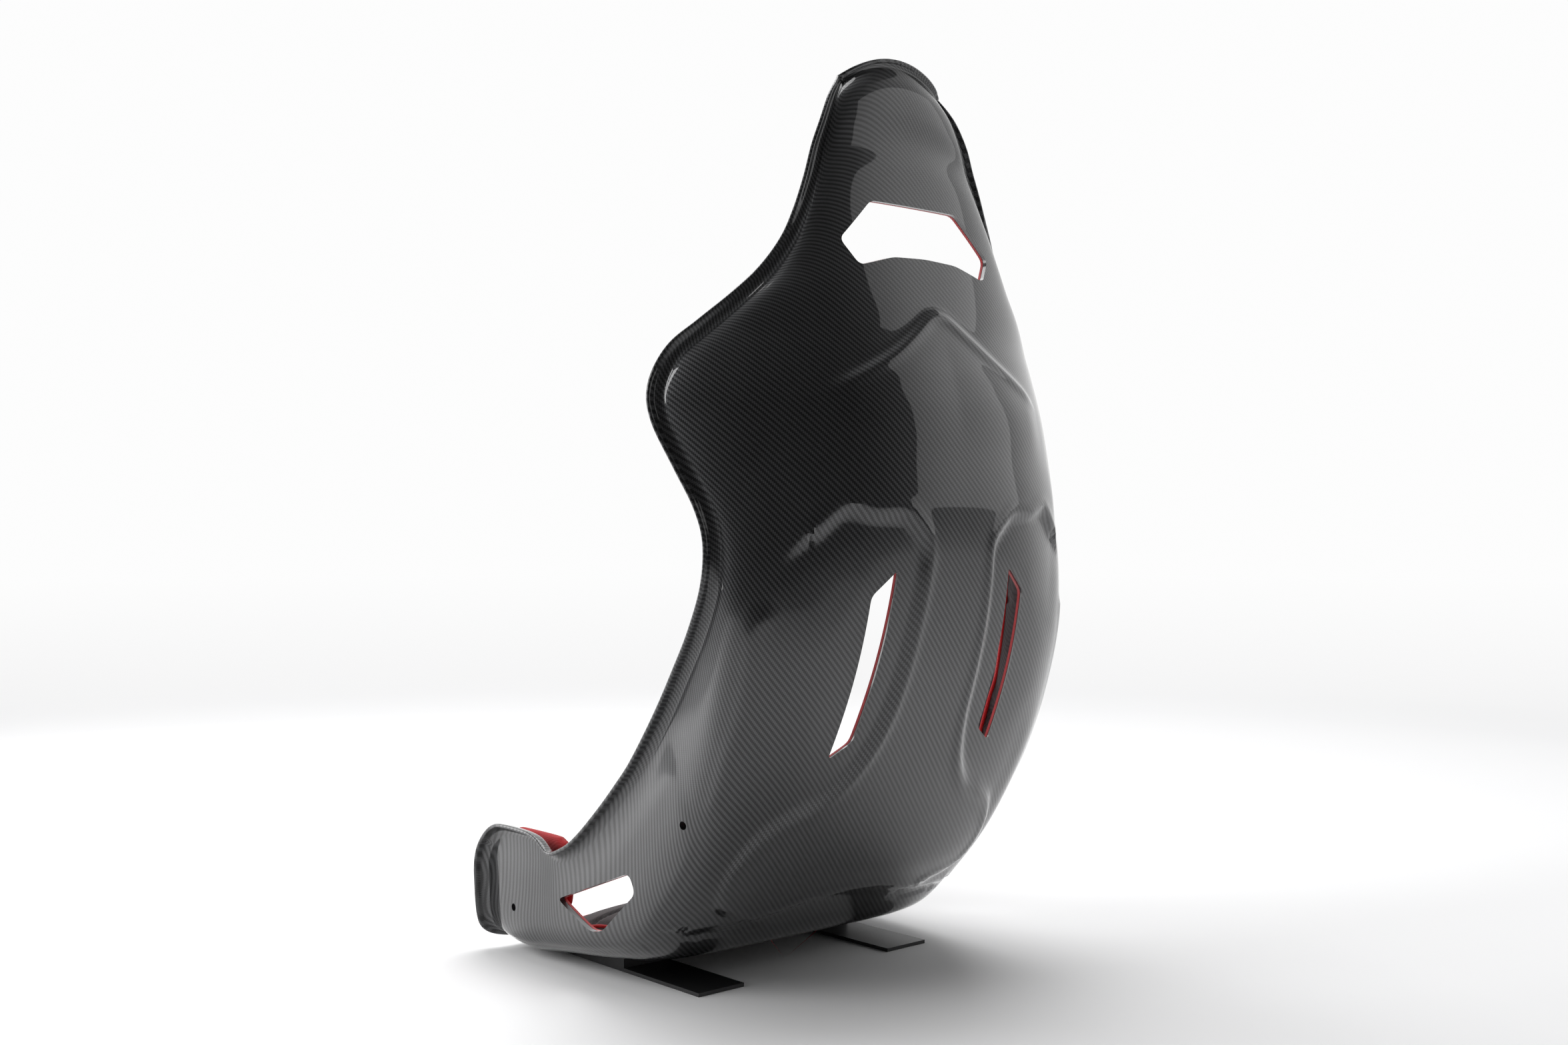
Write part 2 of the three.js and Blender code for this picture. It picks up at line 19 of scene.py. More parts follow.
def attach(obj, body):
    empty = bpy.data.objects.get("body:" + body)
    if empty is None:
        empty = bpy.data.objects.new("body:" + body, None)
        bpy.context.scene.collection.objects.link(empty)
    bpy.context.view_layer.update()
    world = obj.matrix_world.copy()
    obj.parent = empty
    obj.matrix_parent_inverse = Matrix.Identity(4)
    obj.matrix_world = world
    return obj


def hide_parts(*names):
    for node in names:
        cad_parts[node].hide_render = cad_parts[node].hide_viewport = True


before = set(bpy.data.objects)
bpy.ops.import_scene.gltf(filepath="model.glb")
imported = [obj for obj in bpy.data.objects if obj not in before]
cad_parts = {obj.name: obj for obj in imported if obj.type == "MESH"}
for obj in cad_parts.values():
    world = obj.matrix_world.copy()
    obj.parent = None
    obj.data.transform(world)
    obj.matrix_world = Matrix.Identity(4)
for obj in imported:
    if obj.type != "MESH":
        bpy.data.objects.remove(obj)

log = logging.getLogger("seat")

METRES = 0.001
SEAT_CENTRE_Y = 23.4  # from the base's rear edge to the middle of the seat
ROOT = "root"
SIDES = {"left": 1, "right": -1}

# ------------------------------------------------------------------------------------------------ nodes


class Value:
    """A shader socket that adds Math nodes when it is used in an expression."""

    def __init__(self, tree: bpy.types.NodeTree, socket: bpy.types.NodeSocket) -> None:
        """Wraps one socket.

        Args:
            tree: the node tree that holds it.
            socket: the output socket.
        """
        self.tree = tree
        self.socket = socket

    def math(self, operation: str, *others: "Value | float") -> "Value":
        """Adds a Math node.

        Args:
            operation: the node's operation.
            others: the second and third values.

        Returns:
            The node's output.
        """
        node = self.tree.nodes.new("ShaderNodeMath")
        node.operation = operation
        for slot, value in zip(node.inputs, (self, *others)):
            if isinstance(value, Value):
                self.tree.links.new(value.socket, slot)
            else:
                slot.default_value = value
        return Value(self.tree, node.outputs[0])

    def _reflected(self, operation: str, first: float) -> "Value":
        """The Math node of a number and this value, in that order.

        Args:
            operation: the node's operation.
            first: the number.

        Returns:
            The result.
        """
        node = self.tree.nodes.new("ShaderNodeMath")
        node.operation = operation
        node.inputs[0].default_value = first
        self.tree.links.new(self.socket, node.inputs[1])
        return Value(self.tree, node.outputs[0])

    def __add__(self, other: "Value | float") -> "Value":
        """The sum."""
        return self.math("ADD", other)

    __radd__ = __add__

    def __sub__(self, other: "Value | float") -> "Value":
        """The difference."""
        return self.math("SUBTRACT", other)

    def __rsub__(self, other: float) -> "Value":
        """A number less this value."""
        return self._reflected("SUBTRACT", other)

    def __mul__(self, other: "Value | float") -> "Value":
        """The product."""
        return self.math("MULTIPLY", other)

    __rmul__ = __mul__

    def __truediv__(self, other: "Value | float") -> "Value":
        """The quotient."""
        return self.math("DIVIDE", other)

    def __pow__(self, other: float) -> "Value":
        """The power."""
        return self.math("POWER", other)

    def __lt__(self, other: "Value | float") -> "Value":
        """1 where this value is the smaller."""
        return self.math("LESS_THAN", other)


class Finish:
    """A material under construction, with its Principled shader."""

    def __init__(self, name: str, **constants: float) -> None:
        """Makes the material.

        Args:
            name: the finish's name.
            constants: the shader's sockets that are the same all over, spaces as underscores.
        """
        self.material = bpy.data.materials.new(name)
        self.material.use_nodes = True
        self.tree = self.material.node_tree
        self.shader = self.tree.nodes["Principled BSDF"]
        for key, value in constants.items():
            self.shader.inputs[key.replace("_", " ")].default_value = value

    def node(self, kind: str, settings: dict | None = None, **values: object) -> bpy.types.Node:
        """Adds a node.

        Args:
            kind: the node's type.
            settings: its properties, set first.
            values: its sockets' values or links, spaces as underscores.

        Returns:
            The node.
        """
        node = self.tree.nodes.new(kind)
        for key, value in (settings or {}).items():
            setattr(node, key, value)
        for key, value in values.items():
            slot = next(s for s in node.inputs if s.name == key.replace("_", " ") and s.enabled)
            self.feed(slot, value)
        return node

    def feed(self, slot: bpy.types.NodeSocket, value: object) -> None:
        """Links or sets one input socket.

        Args:
            slot: the input.
            value: a Value, a socket or a plain value.
        """
        if isinstance(value, Value):
            value = value.socket
        if isinstance(value, bpy.types.NodeSocket):
            self.tree.links.new(value, slot)
        else:
            slot.default_value = value

    def value(self, node: bpy.types.Node, output: str) -> Value:
        """One output of a node as a Value."""
        return Value(self.tree, node.outputs[output])

    def places(self) -> bpy.types.NodeSocket:
        """The surface's own coordinates, in metres."""
        return self.node("ShaderNodeTexCoord").outputs["Object"]

    def noise(self, scale: float, detail: float = 2, rough: float = 0.5) -> Value:
        """A noise value.

        Args:
            scale: bumps per metre.
            detail: octaves.
            rough: the octaves' falloff.

        Returns:
            The noise, from 0 to 1.
        """
        node = self.node(
            "ShaderNodeTexNoise", Vector=self.places(), Scale=scale, Detail=detail, Roughness=rough
        )
        return Value(self.tree, node.outputs[0])

    def blend(self, share: Value, low: tuple, high: tuple) -> bpy.types.NodeSocket:
        """A colour between two.

        Args:
            share: how much of the second.
            low: the first colour.
            high: the second colour.

        Returns:
            The colour's socket.
        """
        mix = self.node("ShaderNodeMix", {"data_type": "RGBA"})
        self.feed(mix.inputs[0], share)
        mix.inputs[6].default_value = (*low, 1)
        mix.inputs[7].default_value = (*high, 1)
        return mix.outputs[2]

    def bump(self, height: Value, distance: float, strength: float = 1) -> None:
        """Feeds the normal from a height.

        Args:
            height: the height, from 0 to 1.
            distance: its depth in metres.
            strength: the bump's share.
        """
        node = self.node("ShaderNodeBump", Height=height, Distance=distance, Strength=strength)
        self.set(Normal=node.outputs[0])

    def set(self, **values: object) -> None:
        """Feeds the shader's sockets, spaces in their names as underscores."""
        for key, value in values.items():
            self.feed(self.shader.inputs[key.replace("_", " ")], value)


# ------------------------------------------------------------------------------------------- finishes


@dataclass(frozen=True)
class CarbonTwill:
    """Two-by-two twill under clear lacquer, with the fibres' sheen painted into the colour. The weave follows the
    moulding through its UV map.
    """

    tow: float = 0.0017  # width of a tow, metres
    # dark is the carbon's own tone; bright is the tone of the painted sheen on the tows
    dark: tuple = (0.006, 0.006, 0.0065)
    bright: tuple = (0.085, 0.086, 0.089)

    def build(self) -> bpy.types.Material:
        """Makes the material.

        Returns:
            The lacquered carbon.
        """
        kit = Finish("carbon_twill", Coat_Weight=1.0, Coat_Roughness=0.035, Coat_IOR=1.5)
        uv = kit.node("ShaderNodeUVMap", {"uv_map": "weave"}).outputs[0]
        split = kit.node("ShaderNodeSeparateXYZ", Vector=uv)
        across = kit.value(split, "X") / self.tow
        along = kit.value(split, "Y") / self.tow
        step = across.math("FLOOR") - along.math("FLOOR")
        over = step.math("FLOORED_MODULO", 4) < 2
        across_round = (across.math("FRACT") * math.pi).math("SINE")
        along_round = (along.math("FRACT") * math.pi).math("SINE")
        round_over = over * across_round + (1 - over) * along_round
        patchy = kit.noise(9, 3)
        fibre = kit.noise(2600, 1)
        # Painted reflection: the tows on top and the crowns of the tows are painted brighter, standing in for the
        # fibres' directional sheen; the noise adds random tone.
        painted_sheen = over * 0.62 + round_over * 0.2 + fibre * 0.22 + patchy * 0.3 - 0.24
        kit.set(
            Base_Color=kit.blend(painted_sheen.math("MINIMUM", 1), self.dark, self.bright),
            Roughness=0.30 + fibre * 0.12 + patchy * 0.1,
            Metallic=0.85 - over * 0.12,
        )
        kit.bump(round_over, 0.00012, 0.5)
        return kit.material


@dataclass(frozen=True)
class Felt:
    """Needled felt: matted fibres, a little uneven in colour."""

    name: str
    deep: tuple
    light: tuple

    def build(self) -> bpy.types.Material:
        """Makes the material.

        Returns:
            The felt.
        """
        kit = Finish(self.name, Sheen_Weight=0.35, Sheen_Roughness=0.6, Specular_IOR_Level=0.2)
        fibres = kit.noise(1500, 4, 0.7)
        mottled = kit.noise(60, 3)
        share = fibres * 0.6 + mottled * 0.5 - 0.05
        kit.set(Base_Color=kit.blend(share, self.deep, self.light), Roughness=0.82 + mottled * 0.15)
        kit.bump(fibres, 0.0006, 0.7)
        return kit.material


@dataclass(frozen=True)
class WovenCloth:
    """A close plain-woven cover cloth with raised yarns."""

    name: str
    deep: tuple
    light: tuple
    yarn: float = 0.0011  # metres from yarn to yarn

    def build(self) -> bpy.types.Material:
        """Makes the material.

        Returns:
            The cloth.
        """
        kit = Finish(self.name, Sheen_Weight=0.25, Sheen_Roughness=0.5, Specular_IOR_Level=0.25)
        split = kit.node("ShaderNodeSeparateXYZ", Vector=kit.places())
        x, y, z = (kit.value(split, axis) * (math.pi / self.yarn) for axis in "XYZ")
        warp = (x + y * 0.15).math("SINE").math("ABSOLUTE")
        weft = (z + y).math("SINE").math("ABSOLUTE")
        yarns = warp * weft
        slubs = kit.noise(240, 3)
        worn = kit.noise(14, 2)
        share = yarns * 0.45 + slubs * 0.3 + worn * 0.35 - 0.1
        kit.set(Base_Color=kit.blend(share, self.deep, self.light), Roughness=0.78 + slubs * 0.2)
        kit.bump(yarns * 0.7 + slubs * 0.3, 0.0005, 0.6)
        return kit.material


@dataclass(frozen=True)
class PaintedSteel:
    """Black enamel with fine orange peel, rubbed through to grey in places."""

    def build(self) -> bpy.types.Material:
        """Makes the material.

        Returns:
            The paint.
        """
        kit = Finish("rail_enamel", Coat_Weight=0.3, Coat_Roughness=0.3)
        peel = kit.noise(700, 2)
        rubbed = (kit.noise(35, 5, 0.7) - 0.62).math("MAXIMUM", 0) * 5
        kit.set(
            Base_Color=kit.blend(rubbed.math("MINIMUM", 1), (0.008, 0.008, 0.009), (0.09, 0.09, 0.095)),
            Roughness=0.42 + peel * 0.2,
            Metallic=rubbed.math("MINIMUM", 1) * 0.8,
        )
        kit.bump(peel, 0.0001, 0.5)
        return kit.material


@dataclass(frozen=True)
class BrushedZinc:
    """Zinc plate with the grain of the sheet and a faint dull bloom."""

    def build(self) -> bpy.types.Material:
        """Makes the material.

        Returns:
            The plated steel.
        """
        kit = Finish("zinc_plate", Metallic=1.0)
        split = kit.node("ShaderNodeSeparateXYZ", Vector=kit.places())
        grain_place = kit.node(
            "ShaderNodeCombineXYZ",
            X=kit.value(split, "Y") * 30,
            Y=kit.value(split, "Z") * 2600,
        )
        grain_node = kit.node("ShaderNodeTexNoise", Vector=grain_place.outputs[0], Scale=1.0, Detail=2.0)
        grain = Value(kit.tree, grain_node.outputs[0])
        bloom = kit.noise(120, 3)
        kit.set(
            Base_Color=kit.blend(bloom, (0.42, 0.42, 0.43), (0.66, 0.66, 0.65)),
            Roughness=0.28 + grain * 0.22,
        )
        kit.bump(grain, 0.00008, 0.6)
        return kit.material


class Slot(Enum):
    """The record's material slots."""

    CARBON = "carbon"
    RED_FELT = "red_felt"
    GREY_CLOTH = "grey_cloth"
    RED_CLOTH = "red_cloth"
    BLACK_STEEL = "black_steel"
    ZINC = "zinc"


@dataclass
class Wardrobe:
    """Every finish of the seat, made once."""

    made: dict = field(default_factory=dict)

    def __post_init__(self) -> None:
        """Builds the finishes."""
        plans = {
            Slot.CARBON: CarbonTwill(),
            Slot.RED_FELT: Felt("red_felt", (0.20, 0.004, 0.006), (0.50, 0.014, 0.018)),
            Slot.GREY_CLOTH: WovenCloth("grey_cloth", (0.012, 0.012, 0.013), (0.042, 0.042, 0.045)),
            Slot.RED_CLOTH: WovenCloth("red_cloth", (0.26, 0.005, 0.008), (0.58, 0.02, 0.024), 0.0009),
            Slot.BLACK_STEEL: PaintedSteel(),
            Slot.ZINC: BrushedZinc(),
        }
        self.made = {slot: plan.build() for slot, plan in plans.items()}

    def dress(self, piece: bpy.types.Object, slot: Slot) -> None:
        """Puts a finish on a piece.

        Args:
            piece: the piece.
            slot: the finish.
        """
        piece.data.materials.clear()
        piece.data.materials.append(self.made[slot])


# ------------------------------------------------------------------------------------ moulding surface

# Stations from the front of the pan, under the hips and up the back to the head.
# (spine y, spine z, lip x, lip y, lip z, flatness at the spine, squareness at the wall, share of arch)
STATIONS = (
    (-268, 12, 234, -280, 146, 10, 10, 0),
    (-240, 6, 235, -243, 150, 10, 10, 0),
    (-205, 5, 236, -203, 151, 10, 10, 0),
    (-170, 8, 236, -168, 148, 9, 9, 0),
    (-134, 12, 236, -139, 134, 8, 8, 0),
    (-98, 16, 237, -106, 143, 8, 8, 0),
    (-60, 20, 238, -76, 161, 7.5, 7.5, 0),
    (-22, 25, 239, -36, 193, 7, 7, 0),
    (16, 38, 240, -2, 224, 6.4, 6.4, 0),
    (46, 66, 241, 27, 253, 6.2, 6.2, 0),
    (92, 118, 243, 69, 305, 6, 6, 0),
    (138, 188, 246, 101, 350, 5.4, 5, 0),
    (176, 254, 249, 126, 388, 4.4, 3.2, 0),
    (209, 330, 251, 144, 430, 3.6, 2.1, 0),
    (230, 403, 252, 145, 470, 3.1, 1.55, 0),
    (240, 470, 258, 136, 502, 2.8, 1.3, 0),
    (242, 535, 269, 118, 539, 2.6, 1.2, 0),
    (238, 585, 279, 98, 580, 2.5, 1.15, 0),
    (230, 618, 279, 94, 606, 2.4, 1.15, 0),
    (220, 646, 264, 99, 636, 2.4, 1.2, 0.05),
    (210, 674, 240, 113, 660, 2.4, 1.3, 0.12),
    (201, 704, 211, 128, 687, 2.5, 1.5, 0.25),
    (192, 737, 181, 138, 716, 2.6, 1.8, 0.45),
    (183, 770, 159, 146, 747, 2.8, 2, 0.65),
    (175, 804, 144, 149, 778, 3, 2, 0.8),
    (168, 838, 130, 148, 812, 3, 2, 0.92),
    (161, 870, 118, 146, 846, 3, 2, 1),
    (160, 899, 105, 146, 876, 3, 2, 1),
    (156, 925, 91, 145, 902, 3, 2, 1),
    (149, 945, 75, 142, 922, 3, 2, 1),
)


def mix(low: np.ndarray | float, high: np.ndarray | float, share: np.ndarray | float) -> np.ndarray:
    """A straight blend.

    Args:
        low: the value at 0.
        high: the value at 1.
        share: how far along.

    Returns:
        The blended value.
    """
    return low + (high - low) * share


def smooth_step(value: np.ndarray, low: float, high: float) -> np.ndarray:
    """A smooth rise from 0 to 1.

    Args:
        value: where.
        low: the rise's start.
        high: its end.

    Returns:
        The height of the rise.
    """
    share = np.clip((value - low) / (high - low), 0, 1)
    return share * share * (3 - 2 * share)


def curve_at(points: np.ndarray, t: float) -> np.ndarray:
    """A point of a smooth curve through points.

    Args:
        points: the points.
        t: from 0 at the first point to 1 at the last.

    Returns:
        The point.
    """
    place = t * (len(points) - 1)
    k = min(int(place), len(points) - 2)
    w = place - k
    start, end = points[k], points[k + 1]
    before = points[k - 1] if k > 0 else 2 * points[0] - points[1]
    after = points[k + 2] if k + 2 < len(points) else 2 * points[-1] - points[-2]
    leave, arrive = (end - before) / 2, (after - start) / 2
    return (
        start
        + leave * w
        + (3 * (end - start) - 2 * leave - arrive) * w**2
        + (2 * (start - end) + leave + arrive) * w**3
    )


def side_of(path: np.ndarray, a: np.ndarray, b: np.ndarray) -> np.ndarray:
    """The signed distance from points to a path, positive on its left.

    Args:
        path: the path's points.
        a: the points' first coordinates.
        b: their second coordinates.

    Returns:
        The signed distances.
    """
    best = np.full(a.shape, 1e9)
    signed = np.zeros(a.shape)
    for (ax, az), (bx, bz) in zip(path[:-1], path[1:]):
        dx, dz = bx - ax, bz - az
        share = np.clip(((a - ax) * dx + (b - az) * dz) / (dx * dx + dz * dz), 0, 1)
        off_x, off_z = a - ax - share * dx, b - az - share * dz
        distance = np.hypot(off_x, off_z)
        turn = np.sign(dx * off_z - dz * off_x)
        nearer = distance < best
        best = np.where(nearer, distance, best)
        signed = np.where(nearer, distance * turn, signed)
    return signed


def smooth_path(points: tuple, steps: int = 8) -> np.ndarray:
    """Points along a smooth curve through a few.

    Args:
        points: the few points.
        steps: steps between neighbours.

    Returns:
        The points of the curve.
    """
    base = np.array(points, float)
    count = (len(base) - 1) * steps
    return np.array([curve_at(base, k / count) for k in range(count + 1)])


@dataclass
class Moulding:
    """The shell's outer surface as a grid of rows along the spine and columns across it."""

    rows: int = 38
    half_cols: int = 13
    fine: int = 7  # grid steps in each design row or column
    wall: float = 4
    rim_radius: float = 9
    rim_turn: float = 1.4
    rim_lip: float = 6
    rim_rise: float = 16
    rim_reach: float = 13
    rim_start: float = 1.41
    head_rim: float = 0.65
    top_rim: float = 0.6
    top_start: float = 0.88
    pan_rim: float = 0.2
    ear_corner: float = 48
    arc_share: float = 0.7
    section_steps: int = 240

    def __post_init__(self) -> None:
        """Works out the grid, its normals and the weave's coordinates."""
        stations = np.array(STATIONS, float)
        self._spine = stations[:, :2]
        self._lip = stations[:, 2:5]
        self._form = stations[:, 5:]
        self.last_row = self.rows * self.fine
        self.last_col = 2 * self.half_cols * self.fine
        self.points = np.array([self._row(i / self.last_row) for i in range(self.last_row + 1)])
        self.normals = self._smooth_normals()
        self.weave = self._weave()

    @staticmethod
    def _section(angle: np.ndarray | float, flat: float, square: float) -> tuple:
        """Across and up fractions of a section at an angle."""
        return np.sin(angle) ** (2 / flat), 1 - np.abs(np.cos(angle)) ** (2 / square)

    def _fractions(self, flat: float, square: float, width: float, height: float, share: float) -> tuple:
        """The section at this grid's columns.

        Args:
            flat: flatness at the spine.
            square: squareness at the wall.
            width: half width, mm.
            height: the wall's height, mm.
            share: how far the columns follow arc length.

        Returns:
            The across and up fractions, from the spine to the wall's end.
        """
        angle = np.linspace(0, math.pi / 2, self.section_steps + 1)
        across, up = self._section(angle - np.sin(4 * angle) / 8, flat, square)
        across[-1] = up[-1] = 1
        dx, dz = np.diff(across) * width, np.diff(up) * height
        run = np.hypot(dx, dz)
        heading = np.arctan2(dz, dx)
        turn = np.abs(np.diff(heading, prepend=0))
        steps = share * run / run.sum() + (1 - share) * turn / turn.sum()
        reached = np.concatenate([[0], np.cumsum(steps)])
        places = np.linspace(0, 1, self.half_cols * self.fine + 1)
        return np.interp(places, reached, across), np.interp(places, reached, up)

    def _row(self, t: float) -> np.ndarray:
        """One row of the grid.

        Args:
            t: from 0 at the pan's front to 1 at the head's top.

        Returns:
            The row's points, right to left.
        """
        spine, lip = curve_at(self._spine, t), curve_at(self._lip, t)
        flat, square, arch = curve_at(self._form, t)
        rim = self.rim_beside(t, arch)
        way = lip[1:] - spine
        way = mix(way / np.linalg.norm(way), np.array([-1.0, 0.0]), arch)
        way = way / np.linalg.norm(way)

        def depth_of(point: np.ndarray) -> float:
            """How far forward of the spine a section point stands."""
            return max(float((point[1:] - spine) @ way), 1.0)

        wall = lip - rim * np.array([self.rim_reach, self.rim_rise * way[0], self.rim_rise * way[1]])
        near_across, near_up = self._section(self.rim_start, flat, square)
        for _ in range(3):
            end = np.array([wall[0] * (1 - near_across), depth_of(wall) * (1 - near_up)])
            end = end / np.linalg.norm(end)
            out = rim * (self.rim_rise * end[0] + self.rim_reach * end[1])
            rise = rim * (self.rim_rise * end[1] - self.rim_reach * end[0])
            wall = np.array([lip[0] - out, lip[1] - rise * way[0], lip[2] - rise * way[1]])
        if arch >= 0.999:
            wall[1] = min(wall[1], spine[0])
        across, up = self._fractions(flat, square, wall[0], depth_of(wall), mix(self.arc_share, 1, arch**2))
        drop = mix(up, across * across, arch)
        half = np.stack([across * wall[0], mix(spine[0], wall[1], up), mix(spine[1], wall[2], drop)], -1)
        if t < 0.2:
            self._round_ear(half, wall[2])
        other = half[:0:-1] * np.array([-1, 1, 1])
        return np.concatenate([other, half])

    def rim_beside(self, t: float, arch: float) -> float:
        """The rim's size beside a row, as a share of its full size."""
        top = float(smooth_step(np.array(t), self.top_start, 1))
        return mix(1, self.head_rim, arch) * mix(1, self.top_rim, top)

    def _round_ear(self, half: np.ndarray, rim_z: float) -> None:
        """Rounds the thigh support's upper front corner.

        Args:
            half: the row's points on one side, changed in place.
            rim_z: the wall's height.
        """
        rim_y = STATIONS[0][3]
        a = 1 - (half[:, 1] - rim_y) / self.ear_corner
        b = 1 - (rim_z - half[:, 2]) / self.ear_corner
        inside = (a > 0) & (b > 0)
        a, b = np.where(inside, a, 0), np.where(inside, b, 0)
        half[:, 1] = np.where(inside, rim_y + self.ear_corner * (1 - a * np.sqrt(1 - b * b / 2)), half[:, 1])
        half[:, 2] = np.where(inside, rim_z - self.ear_corner * (1 - b * np.sqrt(1 - a * a / 2)), half[:, 2])

    def _smooth_normals(self) -> np.ndarray:
        """The normals, pointing away from the occupant and averaged over a design cell."""
        down = self.points[1:, 1:] - self.points[:-1, :-1]
        other = self.points[1:, :-1] - self.points[:-1, 1:]
        cells = np.cross(other, down)
        cells /= np.maximum(np.linalg.norm(cells, axis=-1, keepdims=True), 1e-9)
        reach = self.fine
        total = np.zeros(self.points.shape)
        padded = np.pad(cells, ((reach, reach), (reach, reach), (0, 0)))
        sums = np.pad(padded.cumsum(0).cumsum(1), ((1, 0), (1, 0), (0, 0)))
        size = 2 * reach
        total = (
            sums[size:, size:] - sums[:-size, size:] - sums[size:, :-size] + sums[:-size, :-size]
        )[: self.last_row + 1, : self.last_col + 1]
        return total / np.linalg.norm(total, axis=-1, keepdims=True)

    def _weave(self) -> np.ndarray:
        """Where the cloth's own threads lie: distances along and across the surface, in metres."""
        across = np.linalg.norm(np.diff(self.points, axis=1), axis=-1)
        u = np.concatenate([np.zeros((self.last_row + 1, 1)), across.cumsum(1)], 1)
        u -= u[:, [self.last_col // 2]]
        along = np.linalg.norm(np.diff(self.points, axis=0), axis=-1)
        v = np.concatenate([np.zeros((1, self.last_col + 1)), along.cumsum(0)], 0)
        v -= v[[self.last_row * 3 // 5], :]
        return np.stack([u, v], -1) * METRES

    def arch(self, i: np.ndarray) -> np.ndarray:
        """How much the rows are arched, at grid rows."""
        return np.array([curve_at(self._form, k / self.last_row)[2] for k in i])

    def _blend(self, grid: np.ndarray, row: np.ndarray, col: np.ndarray) -> np.ndarray:
        """A grid's value between its points, at design rows and columns.

        Args:
            grid: the fine grid.
            row: design rows.
            col: design columns.

        Returns:
            The values.
        """
        i, j = row * self.fine, col * self.fine
        i0 = np.clip(np.floor(i).astype(int), 0, self.last_row - 1)
        j0 = np.clip(np.floor(j).astype(int), 0, self.last_col - 1)
        a, b = (i - i0)[..., None], (j - j0)[..., None]
        low = mix(grid[i0, j0], grid[i0, j0 + 1], b)
        high = mix(grid[i0 + 1, j0], grid[i0 + 1, j0 + 1], b)
        return mix(low, high, a)

    def inside(self, row: np.ndarray, col: np.ndarray, depth: np.ndarray | float) -> np.ndarray:
        """Points moved in towards the occupant.

        Args:
            row: design rows.
            col: design columns.
            depth: how far in, mm.

        Returns:
            The points.
        """
        depth = np.asarray(depth, float)
        depth = depth[..., None] if depth.ndim else depth
        return self._blend(self.points, row, col) - self._blend(self.normals, row, col) * depth


# ----------------------------------------------------------------------------------------------- meshes


def to_metres(points: np.ndarray) -> np.ndarray:
    """Design-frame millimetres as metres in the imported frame."""
    return (np.asarray(points, float) + np.array([0, SEAT_CENTRE_Y, 0])) * METRES


def make_piece(
    name: str, points: np.ndarray, faces: list, weave: np.ndarray | None = None
) -> bpy.types.Object:
    """Makes a mesh object.

    Args:
        name: the piece's name.
        points: its points in the design frame, mm.
        faces: its faces, as tuples of point numbers.
        weave: each point's place in the cloth.

    Returns:
        The object.
    """
    mesh = bpy.data.meshes.new(name)
    mesh.from_pydata(to_metres(points).tolist(), [], faces)
    mesh.validate()
    if weave is not None:
        layer = mesh.uv_layers.new(name="weave")
        corners = np.zeros(len(mesh.loops), np.int32)
        mesh.loops.foreach_get("vertex_index", corners)
        layer.data.foreach_set("uv", weave[corners].astype(np.float32).ravel())
    piece = bpy.data.objects.new(name, mesh)
    bpy.context.scene.collection.objects.link(piece)
    return piece


def smooth(piece: bpy.types.Object, angle: float) -> None:
    """Shades a piece smooth, with its edges sharp above an angle in degrees."""
    piece.data.shade_smooth()
    piece.data.set_sharp_from_angle(angle=math.radians(angle))


def apply_modifiers(piece: bpy.types.Object) -> None:
    """Turns a piece's modified shape into its mesh.

    Args:
        piece: the object.
    """
    depsgraph = bpy.context.evaluated_depsgraph_get()
    mesh = bpy.data.meshes.new_from_object(piece.evaluated_get(depsgraph))
    piece.modifiers.clear()
    old = piece.data
    piece.data = mesh
    mesh.name = piece.name
    bpy.data.meshes.remove(old)


def round_outline(corners: list, radius: float, steps: int = 7) -> np.ndarray:
    """A closed outline with rounded corners.

    Args:
        corners: the corners.
        radius: how far from a corner its rounding starts.
        steps: points in each rounding.

    Returns:
        The outline's points.
    """
    base = np.array(corners, float)
    points = []
    for k, corner in enumerate(base):
        before, after = base[k - 1] - corner, base[(k + 1) % len(base)] - corner
        start = corner + before * radius / np.linalg.norm(before)
        end = corner + after * radius / np.linalg.norm(after)
        for share in np.linspace(0, 1, steps):
            points.append((1 - share) ** 2 * start + 2 * share * (1 - share) * corner + share**2 * end)
    return np.array(points)


class Through(Enum):
    """The direction an opening is cut in: the axes of its outline, then the axis it runs along."""

    BACK = (0, 2, 1)
    FLANK = (1, 2, 0)


def cutter(outlines: list) -> bpy.types.Object:
    """One object that holds every opening's prism.

    Args:
        outlines: for each prism, its outline, its direction and its two ends in mm.

    Returns:
        The cutting object.
    """
    points, faces = [], []
    for outline, through, (near, far) in outlines:
        first, second, third = through.value
        start, count = len(points), len(outline)
        for end in (near, far):
            for a, b in outline:
                point = [0.0, 0.0, 0.0]
                point[first], point[second], point[third] = a, b, end
                points.append(point)
        near_cap = [start + k for k in range(count)]
        area = sum(a * d - b * c for (a, b), (c, d) in zip(outline, np.roll(outline, -1, 0)))
        flip = (area > 0) != (through is Through.BACK)
        sides = [(start + k, start + (k + 1) % count) for k in range(count)]
        made = [near_cap[::-1], [p + count for p in near_cap]]
        made += [[a, b, b + count, a + count] for a, b in sides]
        faces += made if flip else [face[::-1] for face in made]
    return make_piece("opening_tool", points, faces)


def cut(piece: bpy.types.Object, outlines: list) -> None:
    """Cuts openings through a piece.

    Args:
        piece: the piece.
        outlines: the openings, as for cutter().
    """
    tool = cutter(outlines)
    change = piece.modifiers.new("openings", "BOOLEAN")
    change.operation = "DIFFERENCE"
    change.object = tool
    change.solver = "MANIFOLD"
    apply_modifiers(piece)
    mesh = tool.data
    bpy.data.objects.remove(tool)
    bpy.data.meshes.remove(mesh)


